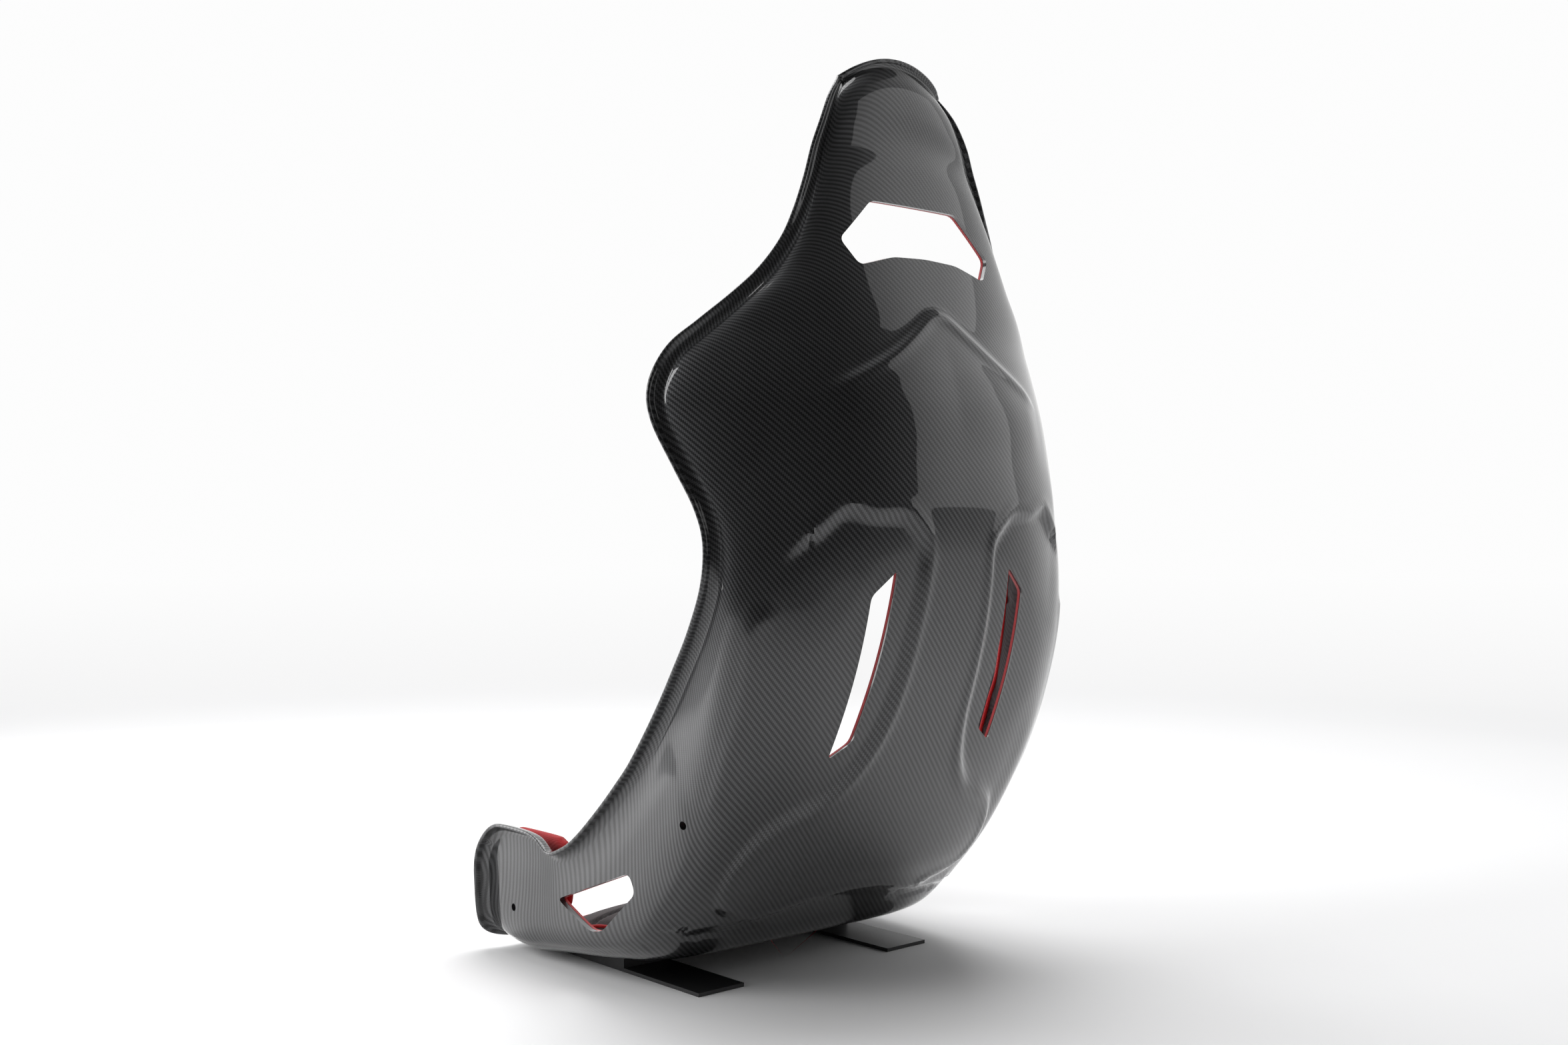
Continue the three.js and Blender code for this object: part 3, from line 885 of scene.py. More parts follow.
@dataclass(frozen=True)
class Openings:
    """The outlines of the shell's openings, mm."""

    slot_top: tuple = (61.5, 799)
    slot_tip: tuple = (107, 756)
    slot_low: tuple = (89, 731)
    slot_arch: float = 745
    side_slot: tuple = ((80, 435), (109, 410), (116, 250), (91, 266))
    flank: tuple = ((-133, 81), (-1, 129), (9, 110), (-52, 61), (-73, 57))
    holes: tuple = ((-220, 57), (88, 189))
    hole_radius: float = 4.2
    through_back: tuple = (0, 400)
    through_flank: tuple = (120, 280)

    def harness(self) -> list:
        """The shoulder-belt slot."""
        (tx, tz), (ax, az), (lx, lz) = self.slot_top, self.slot_tip, self.slot_low
        dip = self.slot_arch - 2
        corners = [
            (-tx, tz), (-ax, az), (-lx, lz), (-lx / 2, dip), (0, self.slot_arch), (lx / 2, dip),
            (lx, lz), (ax, az), (tx, tz),
        ]
        return [(round_outline(corners, 7), Through.BACK, self.through_back)]

    def sides(self) -> list:
        """The two upright slots in the back."""
        return [
            (round_outline([(side * x, z) for x, z in self.side_slot], 6), Through.BACK, self.through_back)
            for side in SIDES.values()
        ]

    def flanks(self, sides: tuple = (1, -1)) -> list:
        """The lap-belt openings.

        Args:
            sides: 1 for the left, -1 for the right.

        Returns:
            Each one's outline, direction and reach.
        """
        near, far = self.through_flank
        return [
            (round_outline(list(self.flank), 9), Through.FLANK, (near, far) if side > 0 else (-far, -near))
            for side in sides
        ]

    def mounts(self, radius: float, sides: tuple = (1, -1)) -> list:
        """Round holes at the side mounts.

        Args:
            radius: their radius, mm.
            sides: which flanks.

        Returns:
            The holes.
        """
        near, far = self.through_flank
        turn = np.linspace(0, 2 * math.pi, 33)[:-1]
        ring = np.stack([np.cos(turn), np.sin(turn)], -1) * radius
        return [
            (ring + np.array(place), Through.FLANK, (near, far) if side > 0 else (-far, -near))
            for side in sides
            for place in self.holes
        ]


# ------------------------------------------------------------------------------------------------ shell


@dataclass
class Shell:
    """The carbon moulding: its skins, its relief, its rolled rim and its openings."""

    moulding: Moulding
    openings: Openings
    spine_rise: float = 3.2  # the raised middle of the back
    pocket_sink: float = 2.2  # the pockets beside it
    crest: tuple = ((150, 604), (111, 622), (70, 644), (40, 664), (14, 682), (0, 686))
    pocket: tuple = (
        (168, 470), (140, 492), (112, 487), (80, 487), (62, 475), (49, 456), (50, 424), (53, 380), (55, 338),
        (60, 284), (76, 240), (104, 208), (140, 192), (168, 172), (184, 136), (172, 98), (132, 80),
    )
    skirt: tuple = ((0, 95), (52, 91), (90, 84), (140, 76), (180, 74))
    corner_crease: tuple = (
        (186, 392), (181, 375), (172, 334), (159, 292), (146, 263), (133, 232), (124, 214),
    )
    flank_edge: tuple = ((40, 330), (66, 262), (96, 188), (84, 140), (43, 95), (-22, 41), (-60, 20))

    def relief(self) -> np.ndarray:
        """How far the outer skin stands proud of the plain surface, mm.

        Returns:
            One height for each grid point.
        """
        x, y, z = np.moveaxis(self.moulding.points, -1, 0)
        out = np.abs(self.moulding.normals[..., 0])
        across = np.abs(x)
        back = 1 - smooth_step(out, 0.55, 0.85)
        crest = side_of(smooth_path(self.crest), across, z)
        on_crest = (1 - smooth_step(across, 118, 160)) * back
        ridge = 2.8 * np.exp(-((crest / 6.0) ** 2))
        below = 2.4 * smooth_step(crest, -5, 7) * (1 - smooth_step(crest, 20, 110))
        height = (ridge + below) * on_crest * smooth_step(z, 520, 580)
        pocket = side_of(smooth_path(self.pocket), across, z)
        low = (z < 560) & (z > 60)
        step = smooth_step(pocket, -5, 6)
        fade_up = 1 - smooth_step(z, 500, 560)
        middle = self.spine_rise * (1 - step) * fade_up * smooth_step(z, 60, 120)
        edge = 1.7 * np.exp(-(((pocket + 5) / 6.0) ** 2))
        hollow = -self.pocket_sink * step * (1 - smooth_step(pocket, 45, 120))
        height = height + (middle + (edge + hollow) * low) * back * (1 - smooth_step(across, 170, 205))
        skirt = side_of(smooth_path(self.skirt), across, z)
        lower = (y > 0) & (z < 140)
        height = height + lower * back * (
            1.8 * np.exp(-((skirt / 7.0) ** 2)) - 2.0 * smooth_step(-skirt, 2, 12) * smooth_step(z, 36, 60)
        )
        flank = side_of(smooth_path(self.flank_edge), y, z)
        plane = smooth_step(-flank, -10, 10)
        height = height + smooth_step(out, 0.7, 0.93) * 1.8 * plane * (z < 420)
        crease = side_of(smooth_path(self.corner_crease), y, z)
        creased = 1.8 * np.exp(-((crease / 5.5) ** 2))
        height = height + creased * smooth_step(out, 0.35, 0.6) * (across > 190) * (z < 420)
        rows = np.arange(self.moulding.last_row + 1)
        cols = np.arange(self.moulding.last_col + 1)
        from_edge = np.minimum.outer(
            np.minimum(rows, rows[::-1]), np.minimum(cols, cols[::-1])
        )
        return height * smooth_step(from_edge, 1, 9)

    def _loop(self) -> np.ndarray:
        """The grid's boundary, anticlockwise as seen from outside, as rows and columns."""
        rows, cols = self.moulding.last_row, self.moulding.last_col
        loop = [(0, j) for j in range(cols)]
        loop += [(i, cols) for i in range(rows)]
        loop += [(rows, j) for j in range(cols, 0, -1)]
        loop += [(i, 0) for i in range(rows, 0, -1)]
        return np.array(loop)

    def _rim_size(self, loop: np.ndarray) -> np.ndarray:
        """The rim's size round the boundary, as a share of its full size.

        Args:
            loop: the boundary's rows and columns.

        Returns:
            A share for each point.
        """
        plan = self.moulding
        middle = plan.last_col / 2
        arch = {i: a for i, a in enumerate(plan.arch(np.arange(plan.last_row + 1)))}
        along_side = np.array([plan.rim_beside(i / plan.last_row, arch[i]) for i in loop[:, 0]])
        outward = np.abs(loop[:, 1] - middle) / middle
        front = mix(plan.pan_rim, 1, smooth_step(outward, 0.4, 0.75))
        return np.where(loop[:, 0] == 0, front, along_side)[:, None]

    def build(self) -> bpy.types.Object:
        """Makes the shell.

        Returns:
            The piece.
        """
        plan = self.moulding
        rows, cols = plan.last_row, plan.last_col
        outer = plan.points + plan.normals * self.relief()[..., None]
        inner = plan.points - plan.normals * plan.wall
        points = [outer.reshape(-1, 3), inner.reshape(-1, 3)]
        weave = [plan.weave.reshape(-1, 2)] * 2
        loop = self._loop()
        base = plan.points[loop[:, 0], loop[:, 1]]
        normal = plan.normals[loop[:, 0], loop[:, 1]]
        along = np.roll(base, -plan.fine, 0) - np.roll(base, plan.fine, 0)
        along /= np.linalg.norm(along, axis=1, keepdims=True)
        away = -np.cross(along, normal)
        away /= np.linalg.norm(away, axis=1, keepdims=True)
        size = self._rim_size(loop)
        outward = np.stack(
            [(loop[:, 1] == cols) * 1.0 - (loop[:, 1] == 0), (loop[:, 0] == rows) * 1.0 - (loop[:, 0] == 0)], -1
        )
        cloth = plan.weave[loop[:, 0], loop[:, 1]]
        profile = [
            (plan.rim_radius * math.sin(turn), plan.rim_radius * (1 - math.cos(turn)), turn)
            for turn in np.linspace(0, plan.rim_turn, 9)[1:]
        ]
        past, out, turn = profile[-1]
        for share in (0.4, 0.8):
            run = plan.rim_lip * share
            profile.append((past + run * math.cos(turn), out + run * math.sin(turn), turn))

        def ring(step: int, shift: float) -> np.ndarray:
            """One ring of the rim, a depth in from its outer face.

            Args:
                step: which step of the rim's turn.
                shift: the depth.

            Returns:
                The ring's points.
            """
            past, out, turn = profile[step]
            return (
                base
                + away * (size * past + shift * math.sin(turn))
                + normal * (size * out - shift * math.cos(turn))
            )

        tip_turn = profile[-1][2]
        tip_out = away * math.cos(tip_turn) + normal * math.sin(tip_turn)
        tip_in = away * math.sin(tip_turn) - normal * math.cos(tip_turn)
        tip = ring(-1, plan.wall / 2)
        half = plan.wall / 2
        rounding = [
            tip + half * (tip_out * math.sin(angle) - tip_in * math.cos(angle))
            for angle in np.radians([30, 60, 90, 120, 150])
        ]
        rings = [ring(k, 0) for k in range(len(profile))]
        rings += rounding
        rings += [ring(k, plan.wall) for k in reversed(range(len(profile)))]
        runs = [plan.rim_radius * p[2] for p in profile]
        reach = runs + [runs[-1] + half] * len(rounding) + runs[::-1]
        points += rings
        weave += [cloth + outward * r * METRES for r in reach]

        at = np.arange((rows + 1) * (cols + 1)).reshape(rows + 1, cols + 1)
        corners = [at[:-1, :-1], at[1:, :-1], at[1:, 1:], at[:-1, 1:]]
        skin = np.stack([c.ravel() for c in corners], -1)
        faces = skin.tolist() + (skin[:, ::-1] + at.size).tolist()
        edge = at[loop[:, 0], loop[:, 1]]
        count = len(loop)
        bands = [edge] + [2 * at.size + k * count + np.arange(count) for k in range(len(rings))]
        bands.append(edge + at.size)
        for near, far in zip(bands[:-1], bands[1:]):
            quads = np.stack([near, np.roll(near, -1), np.roll(far, -1), far], -1)
            faces += quads.tolist()
        piece = make_piece("carbon_shell", np.concatenate(points), faces, np.concatenate(weave))
        tools = self.openings
        cut(piece, tools.harness() + tools.sides() + tools.flanks() + tools.mounts(tools.hole_radius))
        smooth(piece, 40)
        return piece


# ------------------------------------------------------------------------------------- liners and pads


@dataclass(frozen=True)
class Layers:
    """The depths of the layers inside the shell, mm."""

    liner_near: float = 4.6
    liner_far: float = 7.6
    pad_base: float = 8.3
    plate_pocket: float = 36  # width of the room round a nut plate


@dataclass
class Patch:
    """A closed plate or pad that follows the moulding between two rows and two columns."""

    moulding: Moulding
    rows: tuple
    cols: tuple
    steps: int = 4  # grid steps in each design row or column

    def stops(self, span: tuple) -> np.ndarray:
        """Evenly spaced places across a span."""
        count = max(int(round((span[1] - span[0]) * self.steps)), 4)
        return np.linspace(*span, count + 1)

    def build(self, name: str, near: float, far: Callable) -> bpy.types.Object:
        """Makes the patch.

        Args:
            name: the piece's name.
            near: depth of its outer face, mm.
            far: gives the depth of its inner face from the shares along and across.

        Returns:
            The piece.
        """
        rows, cols = self.stops(self.rows), self.stops(self.cols)
        grid_rows, grid_cols = np.meshgrid(rows, cols, indexing="ij")
        u = (grid_rows - rows[0]) / (rows[-1] - rows[0])
        v = (grid_cols - cols[0]) / (cols[-1] - cols[0])
        outer = self.moulding.inside(grid_rows, grid_cols, near)
        inner = self.moulding.inside(grid_rows, grid_cols, far(u, v))
        at = np.arange(u.size).reshape(u.shape)
        skin = np.stack([at[:-1, :-1], at[1:, :-1], at[1:, 1:], at[:-1, 1:]], -1).reshape(-1, 4)
        faces = skin.tolist() + (skin[:, ::-1] + at.size).tolist()
        edge = np.concatenate([at[0, :-1], at[:-1, -1], at[-1, :0:-1], at[:0:-1, 0]])
        sides = np.stack([edge, np.roll(edge, -1), np.roll(edge, -1) + at.size, edge + at.size], -1)
        faces += sides.tolist()
        return make_piece(name, np.concatenate([outer.reshape(-1, 3), inner.reshape(-1, 3)]), faces)


@dataclass
class Liners:
    """The thin felt layers between shell and pads."""

    moulding: Moulding
    openings: Openings
    layers: Layers
    seam: float = 0.04

    def build(self) -> list:
        """Makes the liners.

        Returns:
            The pieces, each with the CAD node that it stands for.
        """
        tools, seam = self.openings, self.seam
        plans = [
            ("liner_pan", (1, 9 - seam), (7, 19), []),
            ("liner_back", (9 + seam, 27.5 - seam), (7, 19), tools.sides()),
            ("liner_head", (27.5 + seam, 36.6), (3, 23), tools.harness()),
        ]
        for name, side in SIDES.items():
            cols = (19 + seam, 25.6) if side > 0 else (26 - 25.6, 26 - 19 - seam)
            holes = tools.flanks((side,)) + tools.mounts(self.layers.plate_pocket / 2, (side,))
            plans.append((f"liner_wing_{name}", (0.6, 27.5 - seam), cols, holes))
        made = []
        for node, rows, cols, holes in plans:
            patch = Patch(self.moulding, rows, cols)
            piece = patch.build("felt_" + node, self.layers.liner_near, lambda u, v: u * 0 + self.layers.liner_far)
            if holes:
                cut(piece, holes)
            smooth(piece, 50)
            made.append((piece, node))
        return made


class Swelling:
    """Cloth simulation that fills a pad's cover."""

    voxel = 0.005
    pressure = 4.0
    frames = 20

    @classmethod
    def fill(cls, piece: bpy.types.Object, cap: float) -> None:
        """Remeshes and inflates a piece in place.

        Args:
            piece: the pad.
            cap: the furthest a point may move, metres.
        """
        grain = piece.modifiers.new("grain", "REMESH")
        grain.mode = "VOXEL"
        grain.voxel_size = cls.voxel
        apply_modifiers(piece)
        rest = np.zeros(len(piece.data.vertices) * 3, np.float32)
        piece.data.vertices.foreach_get("co", rest)
        cloth = piece.modifiers.new("cover", "CLOTH")
        cloth.settings.use_pressure = True
        cloth.settings.uniform_pressure_force = cls.pressure
        cloth.settings.effector_weights.gravity = 0
        cloth.settings.quality = 4
        cloth.point_cache.frame_start = 1
        cloth.point_cache.frame_end = cls.frames
        scene = bpy.context.scene
        for number in range(1, cls.frames + 1):
            scene.frame_set(number)
        apply_modifiers(piece)
        scene.frame_set(1)
        moved = np.zeros_like(rest)
        piece.data.vertices.foreach_get("co", moved)
        step = (moved - rest).reshape(-1, 3)
        length = np.linalg.norm(step, axis=1, keepdims=True)
        step *= np.minimum(1, cap / np.maximum(length, 1e-9))
        piece.data.vertices.foreach_set("co", (rest.reshape(-1, 3) + step).ravel())
        piece.data.update()
        finer = piece.modifiers.new("finer", "SUBSURF")
        finer.levels = 1
        apply_modifiers(piece)


def tube(name: str, path: np.ndarray, radius: float, sides: int = 8) -> bpy.types.Object:
    """A closed ring of cord along a path.

    Args:
        name: the piece's name.
        path: the path's points in the design frame, mm.
        radius: the cord's radius, mm.
        sides: the sides of its section.

    Returns:
        The piece.
    """
    along = np.roll(path, -1, 0) - np.roll(path, 1, 0)
    along /= np.linalg.norm(along, axis=1, keepdims=True)
    start = np.cross(along, np.array([0.31, 0.74, 0.6]))
    start /= np.linalg.norm(start, axis=1, keepdims=True)
    other = np.cross(along, start)
    turns = np.linspace(0, 2 * math.pi, sides + 1)[:-1]
    rings = [path + radius * (start * math.cos(a) + other * math.sin(a)) for a in turns]
    points = np.stack(rings, 1).reshape(-1, 3)
    at = np.arange(len(points)).reshape(len(path), sides)
    near, far = at, np.roll(at, -1, 0)
    faces = np.stack([near, np.roll(near, -1, 1), np.roll(far, -1, 1), far], -1).reshape(-1, 4)
    piece = make_piece(name, points, faces.tolist())
    smooth(piece, 80)
    return piece


@dataclass(frozen=True)
class PadPlan:
    """One pad: where it lies, how thick it is, and how it is sewn."""

    node: str
    piece: str
    rows: tuple
    cols: tuple
    thickness: float
    channels: tuple = ()  # (across the rows?, share along the pad)
    piped: bool = True
    fill: float = 0.7


PADS = (
    PadPlan("seat_cushion", "seat_cushion_cover", (1.2, 8.6), (8.3, 17.7), 30, ((True, 0.34), (True, 0.68))),
    PadPlan("lumbar_cushion", "lumbar_cushion_cover", (13.6, 19), (11.3, 14.7), 28, ((True, 0.5),)),
    PadPlan("back_cushion", "back_cushion_cover", (20.2, 27), (9, 17), 22, ((True, 0.36), (True, 0.7))),
    PadPlan("head_cushion", "head_cushion_cover", (32, 36), (6, 20), 24, ((True, 0.5),)),
)
SIDE_PADS = (
    PadPlan("hip_bolster", "hip_bolster_cover", (12.6, 20.4), (19.3, 25.2), 60, ((True, 0.36), (True, 0.68))),
    PadPlan("shoulder_pad", "shoulder_pad_cover", (21, 25), (19.6, 24.4), 14, (), True, 0.6),
)


@dataclass
class Pads:
    """The foam pads in their covers, with sewn channels and piping."""

    moulding: Moulding
    layers: Layers
    openings: Openings
    shy: float = 2.0  # how much smaller a pad starts than it ends, mm
    swell: float = 0.006  # the furthest the cover moves, metres
    crown_loss: float = 0.62
    channel_depth: float = 5.0
    channel_width: float = 4.0
    piping_radius: float = 2.1
    piping_inset: float = 0.035

    def __post_init__(self) -> None:
        """Makes the lookup from a point to the moulding's grid."""
        flat = to_metres(self.moulding.points.reshape(-1, 3))
        self._tree = KDTree(len(flat))
        for k, point in enumerate(flat):
            self._tree.insert(point, k)
        self._tree.balance()

    def _sew(self, piece: bpy.types.Object, plan: PadPlan, rows: tuple, cols: tuple) -> None:
        """Keeps the pad off its liner and presses its channels in.

        Args:
            piece: the pad.
            plan: its plan.
            rows: its design rows.
            cols: its design columns.
        """
        grid = self.moulding
        points = np.zeros(len(piece.data.vertices) * 3, np.float32)
        piece.data.vertices.foreach_get("co", points)
        points = points.reshape(-1, 3) / METRES - np.array([0, SEAT_CENTRE_Y, 0])
        found = np.array([self._tree.find(Vector(to_metres(p)))[1] for p in points])
        i, j = np.divmod(found, grid.last_col + 1)
        normal = grid.normals[i, j]
        depth = ((grid.points[i, j] - points) * normal).sum(1)
        side = points - grid.points[i, j] + normal * depth[:, None]
        base = self.layers.pad_base
        u = (i / grid.fine - rows[0]) / (rows[1] - rows[0])
        v = (j / grid.fine - cols[0]) / (cols[1] - cols[0])
        length = np.linalg.norm(grid.inside(np.array(rows[0]), np.array(sum(cols) / 2), base)
                                - grid.inside(np.array(rows[1]), np.array(sum(cols) / 2), base))
        raised = smooth_step(depth, base + plan.thickness * 0.35, base + plan.thickness * 0.75)
        for across_rows, share in plan.channels:
            distance = ((u if across_rows else v) - share) * length
            depth = depth - raised * self.channel_depth * np.exp(-((distance / self.channel_width) ** 2))
        depth = np.clip(depth, base, base + plan.thickness + 1000 * self.swell)
        points = grid.points[i, j] + side - normal * depth[:, None]
        piece.data.vertices.foreach_set("co", to_metres(points).astype(np.float32).ravel())
        piece.data.update()

    def _edge(self, rows: tuple, cols: tuple, depth: float) -> np.ndarray:
        """The pad's outline, with rounded corners, on its crown's edge.

        Args:
            rows: first and last row.
            cols: first and last column.
            depth: depth from the moulding's face.

        Returns:
            The outline's points.
        """
        inset = self.piping_inset
        far = 1 - inset
        outline = round_outline([(inset, inset), (far, inset), (far, far), (inset, far)], 0.13)
        path = []
        for (au, av), (bu, bv) in zip(outline, np.roll(outline, -1, 0)):
            count = max(int(math.hypot(bu - au, bv - av) * 60), 1)
            path += [(mix(au, bu, k / count), mix(av, bv, k / count)) for k in range(count)]
        path = np.array(path)
        return self.moulding.inside(mix(*rows, path[:, 0]), mix(*cols, path[:, 1]), depth)

    def _pipe(
        self, piece: bpy.types.Object, plan: PadPlan, name: str, rows: tuple, cols: tuple
    ) -> bpy.types.Object:
        """Sews piping round a pad's edge.

        Args:
            piece: the pad.
            plan: its plan.
            name: the piping's name.
            rows: the pad's design rows.
            cols: its design columns.

        Returns:
            The piping.
        """
        path = self._edge(rows, cols, self.layers.pad_base + plan.thickness * 0.72)
        seated = []
        for point in to_metres(path):
            found, place, _, _ = piece.closest_point_on_mesh(Vector(point))
            seated.append(np.array(place) if found else point)
        seated = np.array(seated) / METRES - np.array([0, SEAT_CENTRE_Y, 0])
        for _ in range(3):
            seated = (np.roll(seated, 1, 0) + 2 * seated + np.roll(seated, -1, 0)) / 4
        return tube(name, seated, self.piping_radius)

    def build(self, plan: PadPlan, side: int = 0) -> list:
        """Makes one pad and its piping.

        Args:
            plan: the pad's plan.
            side: 0 for a middle pad, 1 for the left and -1 for the right.

        Returns:
            The cover, then the piping if it has some.
        """
        end = {0: "", 1: "_left", -1: "_right"}[side]
        full = 2 * self.moulding.half_cols
        cols = plan.cols if side >= 0 else (full - plan.cols[1], full - plan.cols[0])
        shrink_rows = self.shy / 40
        shrink_cols = self.shy / 25
        patch = Patch(
            self.moulding,
            (plan.rows[0] + shrink_rows, plan.rows[1] - shrink_rows),
            (cols[0] + shrink_cols, cols[1] - shrink_cols),
        )
        base = self.layers.pad_base

        def crown(u: np.ndarray, v: np.ndarray) -> np.ndarray:
            """The crowned face's depth.

            Args:
                u: share along the rows.
                v: share along the columns.

            Returns:
                The depth from the moulding's face.
            """
            a, b = np.abs(2 * u - 1), np.abs(2 * v - 1)
            edge = np.clip((a**4 + b**4) ** 0.5, 0, 1.2)
            return base + (plan.thickness - self.shy) * (1 - self.crown_loss * edge**1.5)

        piece = patch.build(plan.piece + end, base + 0.2, crown)
        if plan.node == "hip_bolster":
            cut(piece, self.openings.mounts(self.layers.plate_pocket / 2, (side,)))
        Swelling.fill(piece, self.swell)
        self._sew(piece, plan, plan.rows, cols)
        smooth(piece, 180)
        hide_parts(plan.node + end)
        made = [piece]
        if plan.piped:
            made.append(self._pipe(piece, plan, plan.node + "_piping" + end, plan.rows, cols))
        return made


@dataclass
class ThighBolsters:
    """The red pads inside the raised front corners."""

    moulding: Moulding
    front: float = -262
    rear: float = -137
    low: float = 54
    high: float = 144
    thickness: float = 19
    outer: float = 209
    corner: float = 26

    def build(self, name: str, side: int) -> bpy.types.Object:
        """Makes one bolster.

        Args:
            name: left or right.
            side: 1 for the left, -1 for the right.

        Returns:
            The piece.
        """
        shy = 3.0
        outline = round_outline(
            [
                (self.front + shy, self.low + shy),
                (self.rear - shy, self.low + shy),
                (self.rear - shy, self.high - shy),
                (self.front + shy, self.high - shy),
            ],
            self.corner,
        )
        middle = outline.mean(0)
        layers = [(0.0, 0.9), (0.12, 1.0), (0.55, 1.0), (0.8, 0.93), (1.0, 0.72)]
        points, faces = [], []
        count = len(outline)
        for share, size in layers:
            x = side * (self.outer - 0.5 - (self.thickness - 3) * share)
            points += [(x, *(middle + (p - middle) * size)) for p in outline]
        for k in range(len(layers) - 1):
            for c in range(count):
                d = (c + 1) % count
                faces.append((k * count + c, k * count + d, (k + 1) * count + d, (k + 1) * count + c))
        faces.append(tuple(range(count))[::-1])
        faces.append(tuple((len(layers) - 1) * count + c for c in range(count)))
        if side > 0:
            faces = [face[::-1] for face in faces]
        piece = make_piece(f"thigh_bolster_cover_{name}", points, faces)
        Swelling.fill(piece, 0.005)
        smooth(piece, 180)
        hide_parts(f"thigh_bolster_{name}")
        return piece


# ------------------------------------------------------------------------------------------- the studio


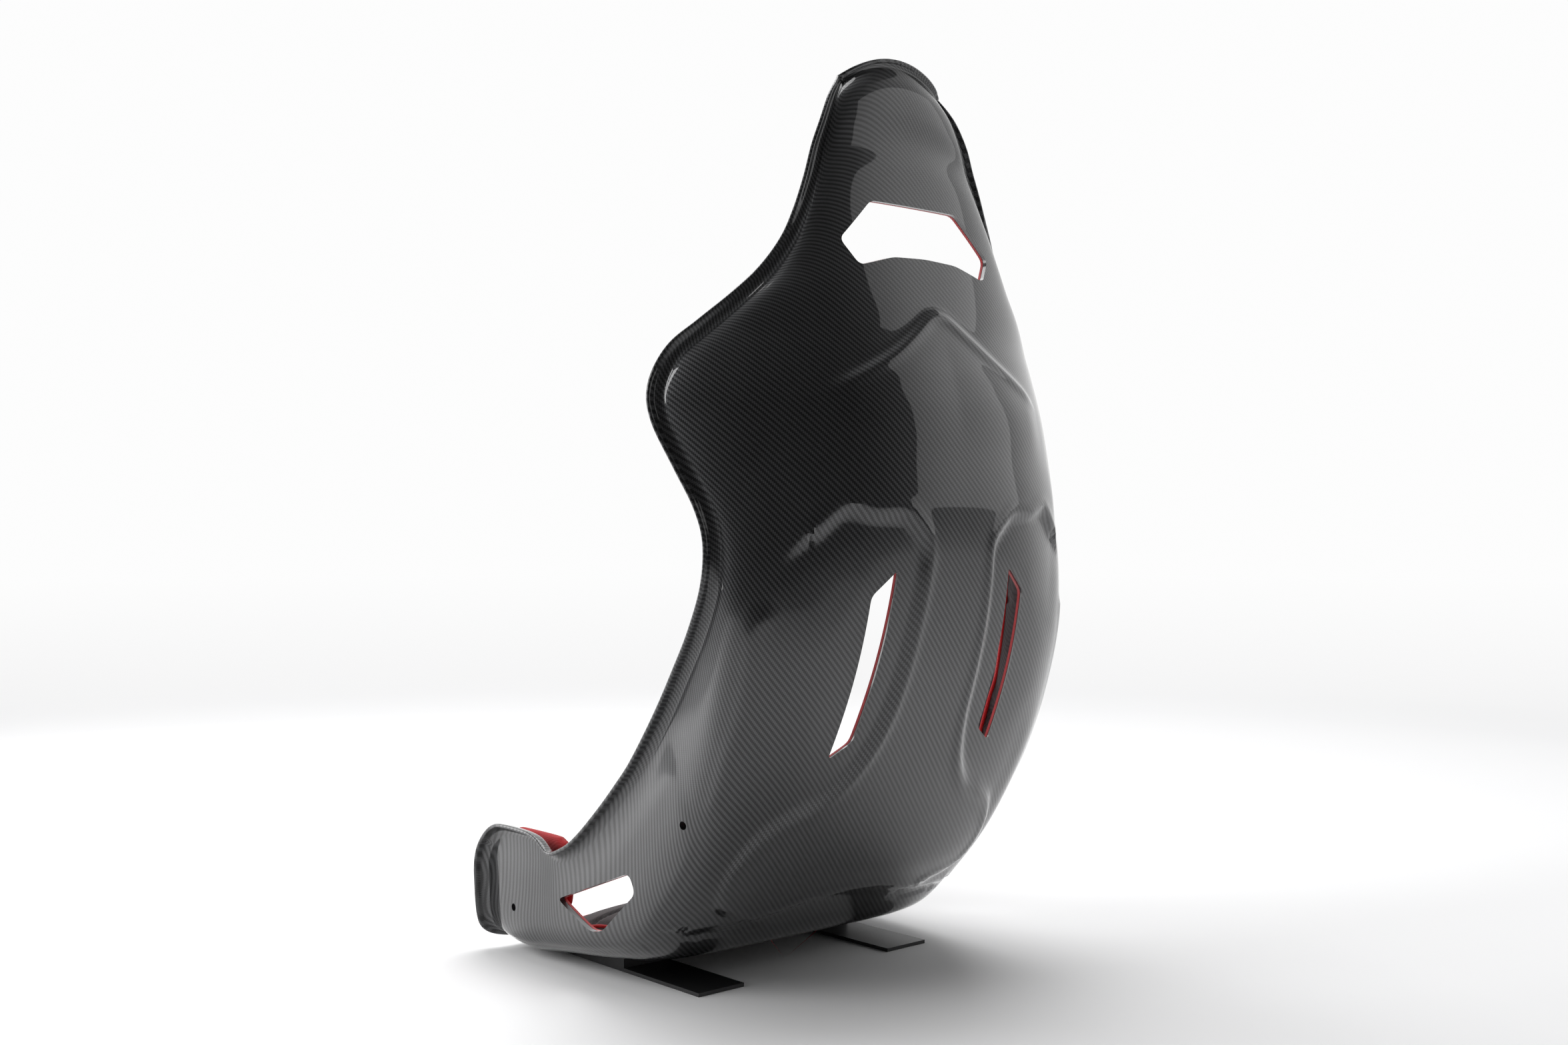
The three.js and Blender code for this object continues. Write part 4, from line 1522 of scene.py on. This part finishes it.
@dataclass(frozen=True)
class Studio:
    """A pale floor that sweeps up into a backdrop, soft lights and the camera."""

    radius: float = 4.2
    sweep: float = 1.0
    height: float = 4.5
    turn: float = math.radians(138.4523)  # the camera's azimuth
    place: tuple = (1.2183, 1.3739, 0.4784)
    lens: float = 38.265
    sensor: float = 36.0
    rise: float = 0.0013  # the camera's vertical shift

    def camera(self) -> None:
        """Places the camera."""
        data = bpy.data.cameras.new("studio_camera")
        data.sensor_width = self.sensor
        data.lens = self.lens
        data.shift_y = self.rise
        camera = bpy.data.objects.new("studio_camera", data)
        camera.location = self.place
        camera.rotation_euler = (math.pi / 2, 0, self.turn)
        bpy.context.scene.collection.objects.link(camera)
        bpy.context.scene.camera = camera

    def _finish(self) -> bpy.types.Material:
        """The backdrop's matt paint, with a painted glow on the wall: bright on the far side, dim on the near
        side.
        """
        kit = Finish("studio_paper", Specular_IOR_Level=0.1)
        grain = kit.noise(3, 2)
        split = kit.node("ShaderNodeSeparateXYZ", Vector=kit.places())
        x, y, z = (kit.value(split, axis) for axis in "XYZ")
        far = (x * -math.sin(self.turn) + y * math.cos(self.turn)) / self.radius
        reach = (x * x + y * y).math("SQRT") / self.radius
        # Painted light: beyond about 2.6 m from the middle the floor and wall glow, brightest on the side away
        # from the camera and dimmest on the near side.
        glow = (far * 1.3 + 0.35).math("MAXIMUM", 0).math("MINIMUM", 1) * 0.92 + 0.06
        on_wall = ((reach - 0.62) * 3.2).math("MAXIMUM", 0).math("MINIMUM", 1)
        kit.set(
            Base_Color=kit.blend(grain * 0.3 + 0.35, (0.84, 0.84, 0.85), (0.88, 0.88, 0.88)),
            Roughness=0.85 + grain * 0.1,
        )
        paper = kit.shader
        glow_node = kit.node("ShaderNodeEmission", Strength=1.0)
        kit.feed(glow_node.inputs["Color"], kit.blend(glow, (0, 0, 0), (1, 1, 1)))
        blend = kit.node("ShaderNodeMixShader")
        kit.feed(blend.inputs[0], on_wall)
        kit.tree.links.new(paper.outputs[0], blend.inputs[1])
        kit.tree.links.new(glow_node.outputs[0], blend.inputs[2])
        output = next(n for n in kit.tree.nodes if n.type == "OUTPUT_MATERIAL")
        kit.tree.links.new(blend.outputs[0], output.inputs[0])
        return kit.material

    def floor(self) -> None:
        """Makes the floor and backdrop in one piece."""
        profile = [(r, 0.0) for r in np.linspace(0.4, self.radius - self.sweep, 20)]
        for angle in np.linspace(0, math.pi / 2, 13)[1:]:
            profile.append(
                (self.radius - self.sweep + self.sweep * math.sin(angle), self.sweep * (1 - math.cos(angle)))
            )
        profile += [(self.radius, z) for z in np.linspace(self.sweep, self.height, 8)[1:]]
        count = 96
        points = [
            (r * math.cos(a), r * math.sin(a), z)
            for r, z in profile
            for a in np.linspace(0, 2 * math.pi, count + 1)[:-1]
        ]
        faces = [
            (k * count + c, k * count + (c + 1) % count, (k + 1) * count + (c + 1) % count, (k + 1) * count + c)
            for k in range(len(profile) - 1)
            for c in range(count)
        ]
        middle = len(points)
        points.append((0.0, 0.0, 0.0))
        faces += [(middle, (c + 1) % count, c) for c in range(count)]
        mesh = bpy.data.meshes.new("studio_floor")
        mesh.from_pydata(points, [], [face[::-1] for face in faces])
        mesh.shade_smooth()
        piece = bpy.data.objects.new("studio_floor", mesh)
        bpy.context.scene.collection.objects.link(piece)
        mesh.materials.append(self._finish())

    def _softbox(self, name: str, place: tuple, size: tuple, power: float) -> None:
        """One soft light, turned to the seat.

        Args:
            name: its name.
            place: where it hangs, metres.
            size: its width and height, metres.
            power: its power, watts.
        """
        data = bpy.data.lights.new(name, "AREA")
        data.shape = "RECTANGLE"
        data.size, data.size_y = size
        data.energy = power
        light = bpy.data.objects.new(name, data)
        light.location = place
        aim = Vector((0, 0, 0.45)) - Vector(place)
        light.rotation_euler = aim.to_track_quat("-Z", "Y").to_euler()
        bpy.context.scene.collection.objects.link(light)

    def lights(self) -> None:
        """Hangs the lights and sets the room's own glow."""
        self._softbox("overhead_softbox", (-0.6, -0.8, 3.4), (3.0, 3.0), 110)
        self._softbox("left_softbox", (3.0, -0.6, 1.9), (0.9, 2.0), 40)
        self._softbox("floor_wash", (1.5, -1.7, 0.9), (1.6, 1.2), 26)
        self._softbox("right_softbox", (-2.4, 2.2, 1.5), (2.0, 2.4), 12)
        world = bpy.data.worlds.new("studio_room")
        world.use_nodes = True
        world.node_tree.nodes["Background"].inputs[0].default_value = (0.5, 0.5, 0.5, 1)
        world.node_tree.nodes["Background"].inputs[1].default_value = 0.12
        bpy.context.scene.world = world
        bpy.context.scene.view_settings.view_transform = "Standard"


# ------------------------------------------------------------------------------------------------- main


def main() -> None:
    """Builds the seat round the frame."""
    logging.basicConfig(level=logging.INFO, format="%(message)s")
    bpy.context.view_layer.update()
    studio = Studio()
    studio.camera()
    studio.floor()
    studio.lights()

    wardrobe = Wardrobe()
    moulding, openings, layers = Moulding(), Openings(), Layers()

    shell = Shell(moulding, openings).build()
    wardrobe.dress(shell, Slot.CARBON)
    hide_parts("shell")
    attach(shell, ROOT)
    log.info("shell: %d points", len(shell.data.vertices))

    for piece, node in Liners(moulding, openings, layers).build():
        wardrobe.dress(piece, Slot.RED_FELT)
        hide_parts(node)
        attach(piece, ROOT)
        log.info("liner: %s", piece.name)

    pads = Pads(moulding, layers, openings)
    plans = [(plan, 0) for plan in PADS]
    plans += [(plan, side) for plan in SIDE_PADS for side in SIDES.values()]
    for plan, side in plans:
        for piece, slot in zip(pads.build(plan, side), (Slot.GREY_CLOTH, Slot.RED_CLOTH)):
            wardrobe.dress(piece, slot)
            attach(piece, ROOT)
            log.info("pad: %s", piece.name)

    bolsters = ThighBolsters(moulding)
    for name, side in SIDES.items():
        piece = bolsters.build(name, side)
        wardrobe.dress(piece, Slot.RED_CLOTH)
        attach(piece, ROOT)
        log.info("bolster: %s", piece.name)

    for node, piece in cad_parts.items():
        if node.startswith("base_rail"):
            wardrobe.dress(piece, Slot.BLACK_STEEL)
        elif node.startswith("nut_plate"):
            wardrobe.dress(piece, Slot.ZINC)


if __name__ == "__main__":
    main()
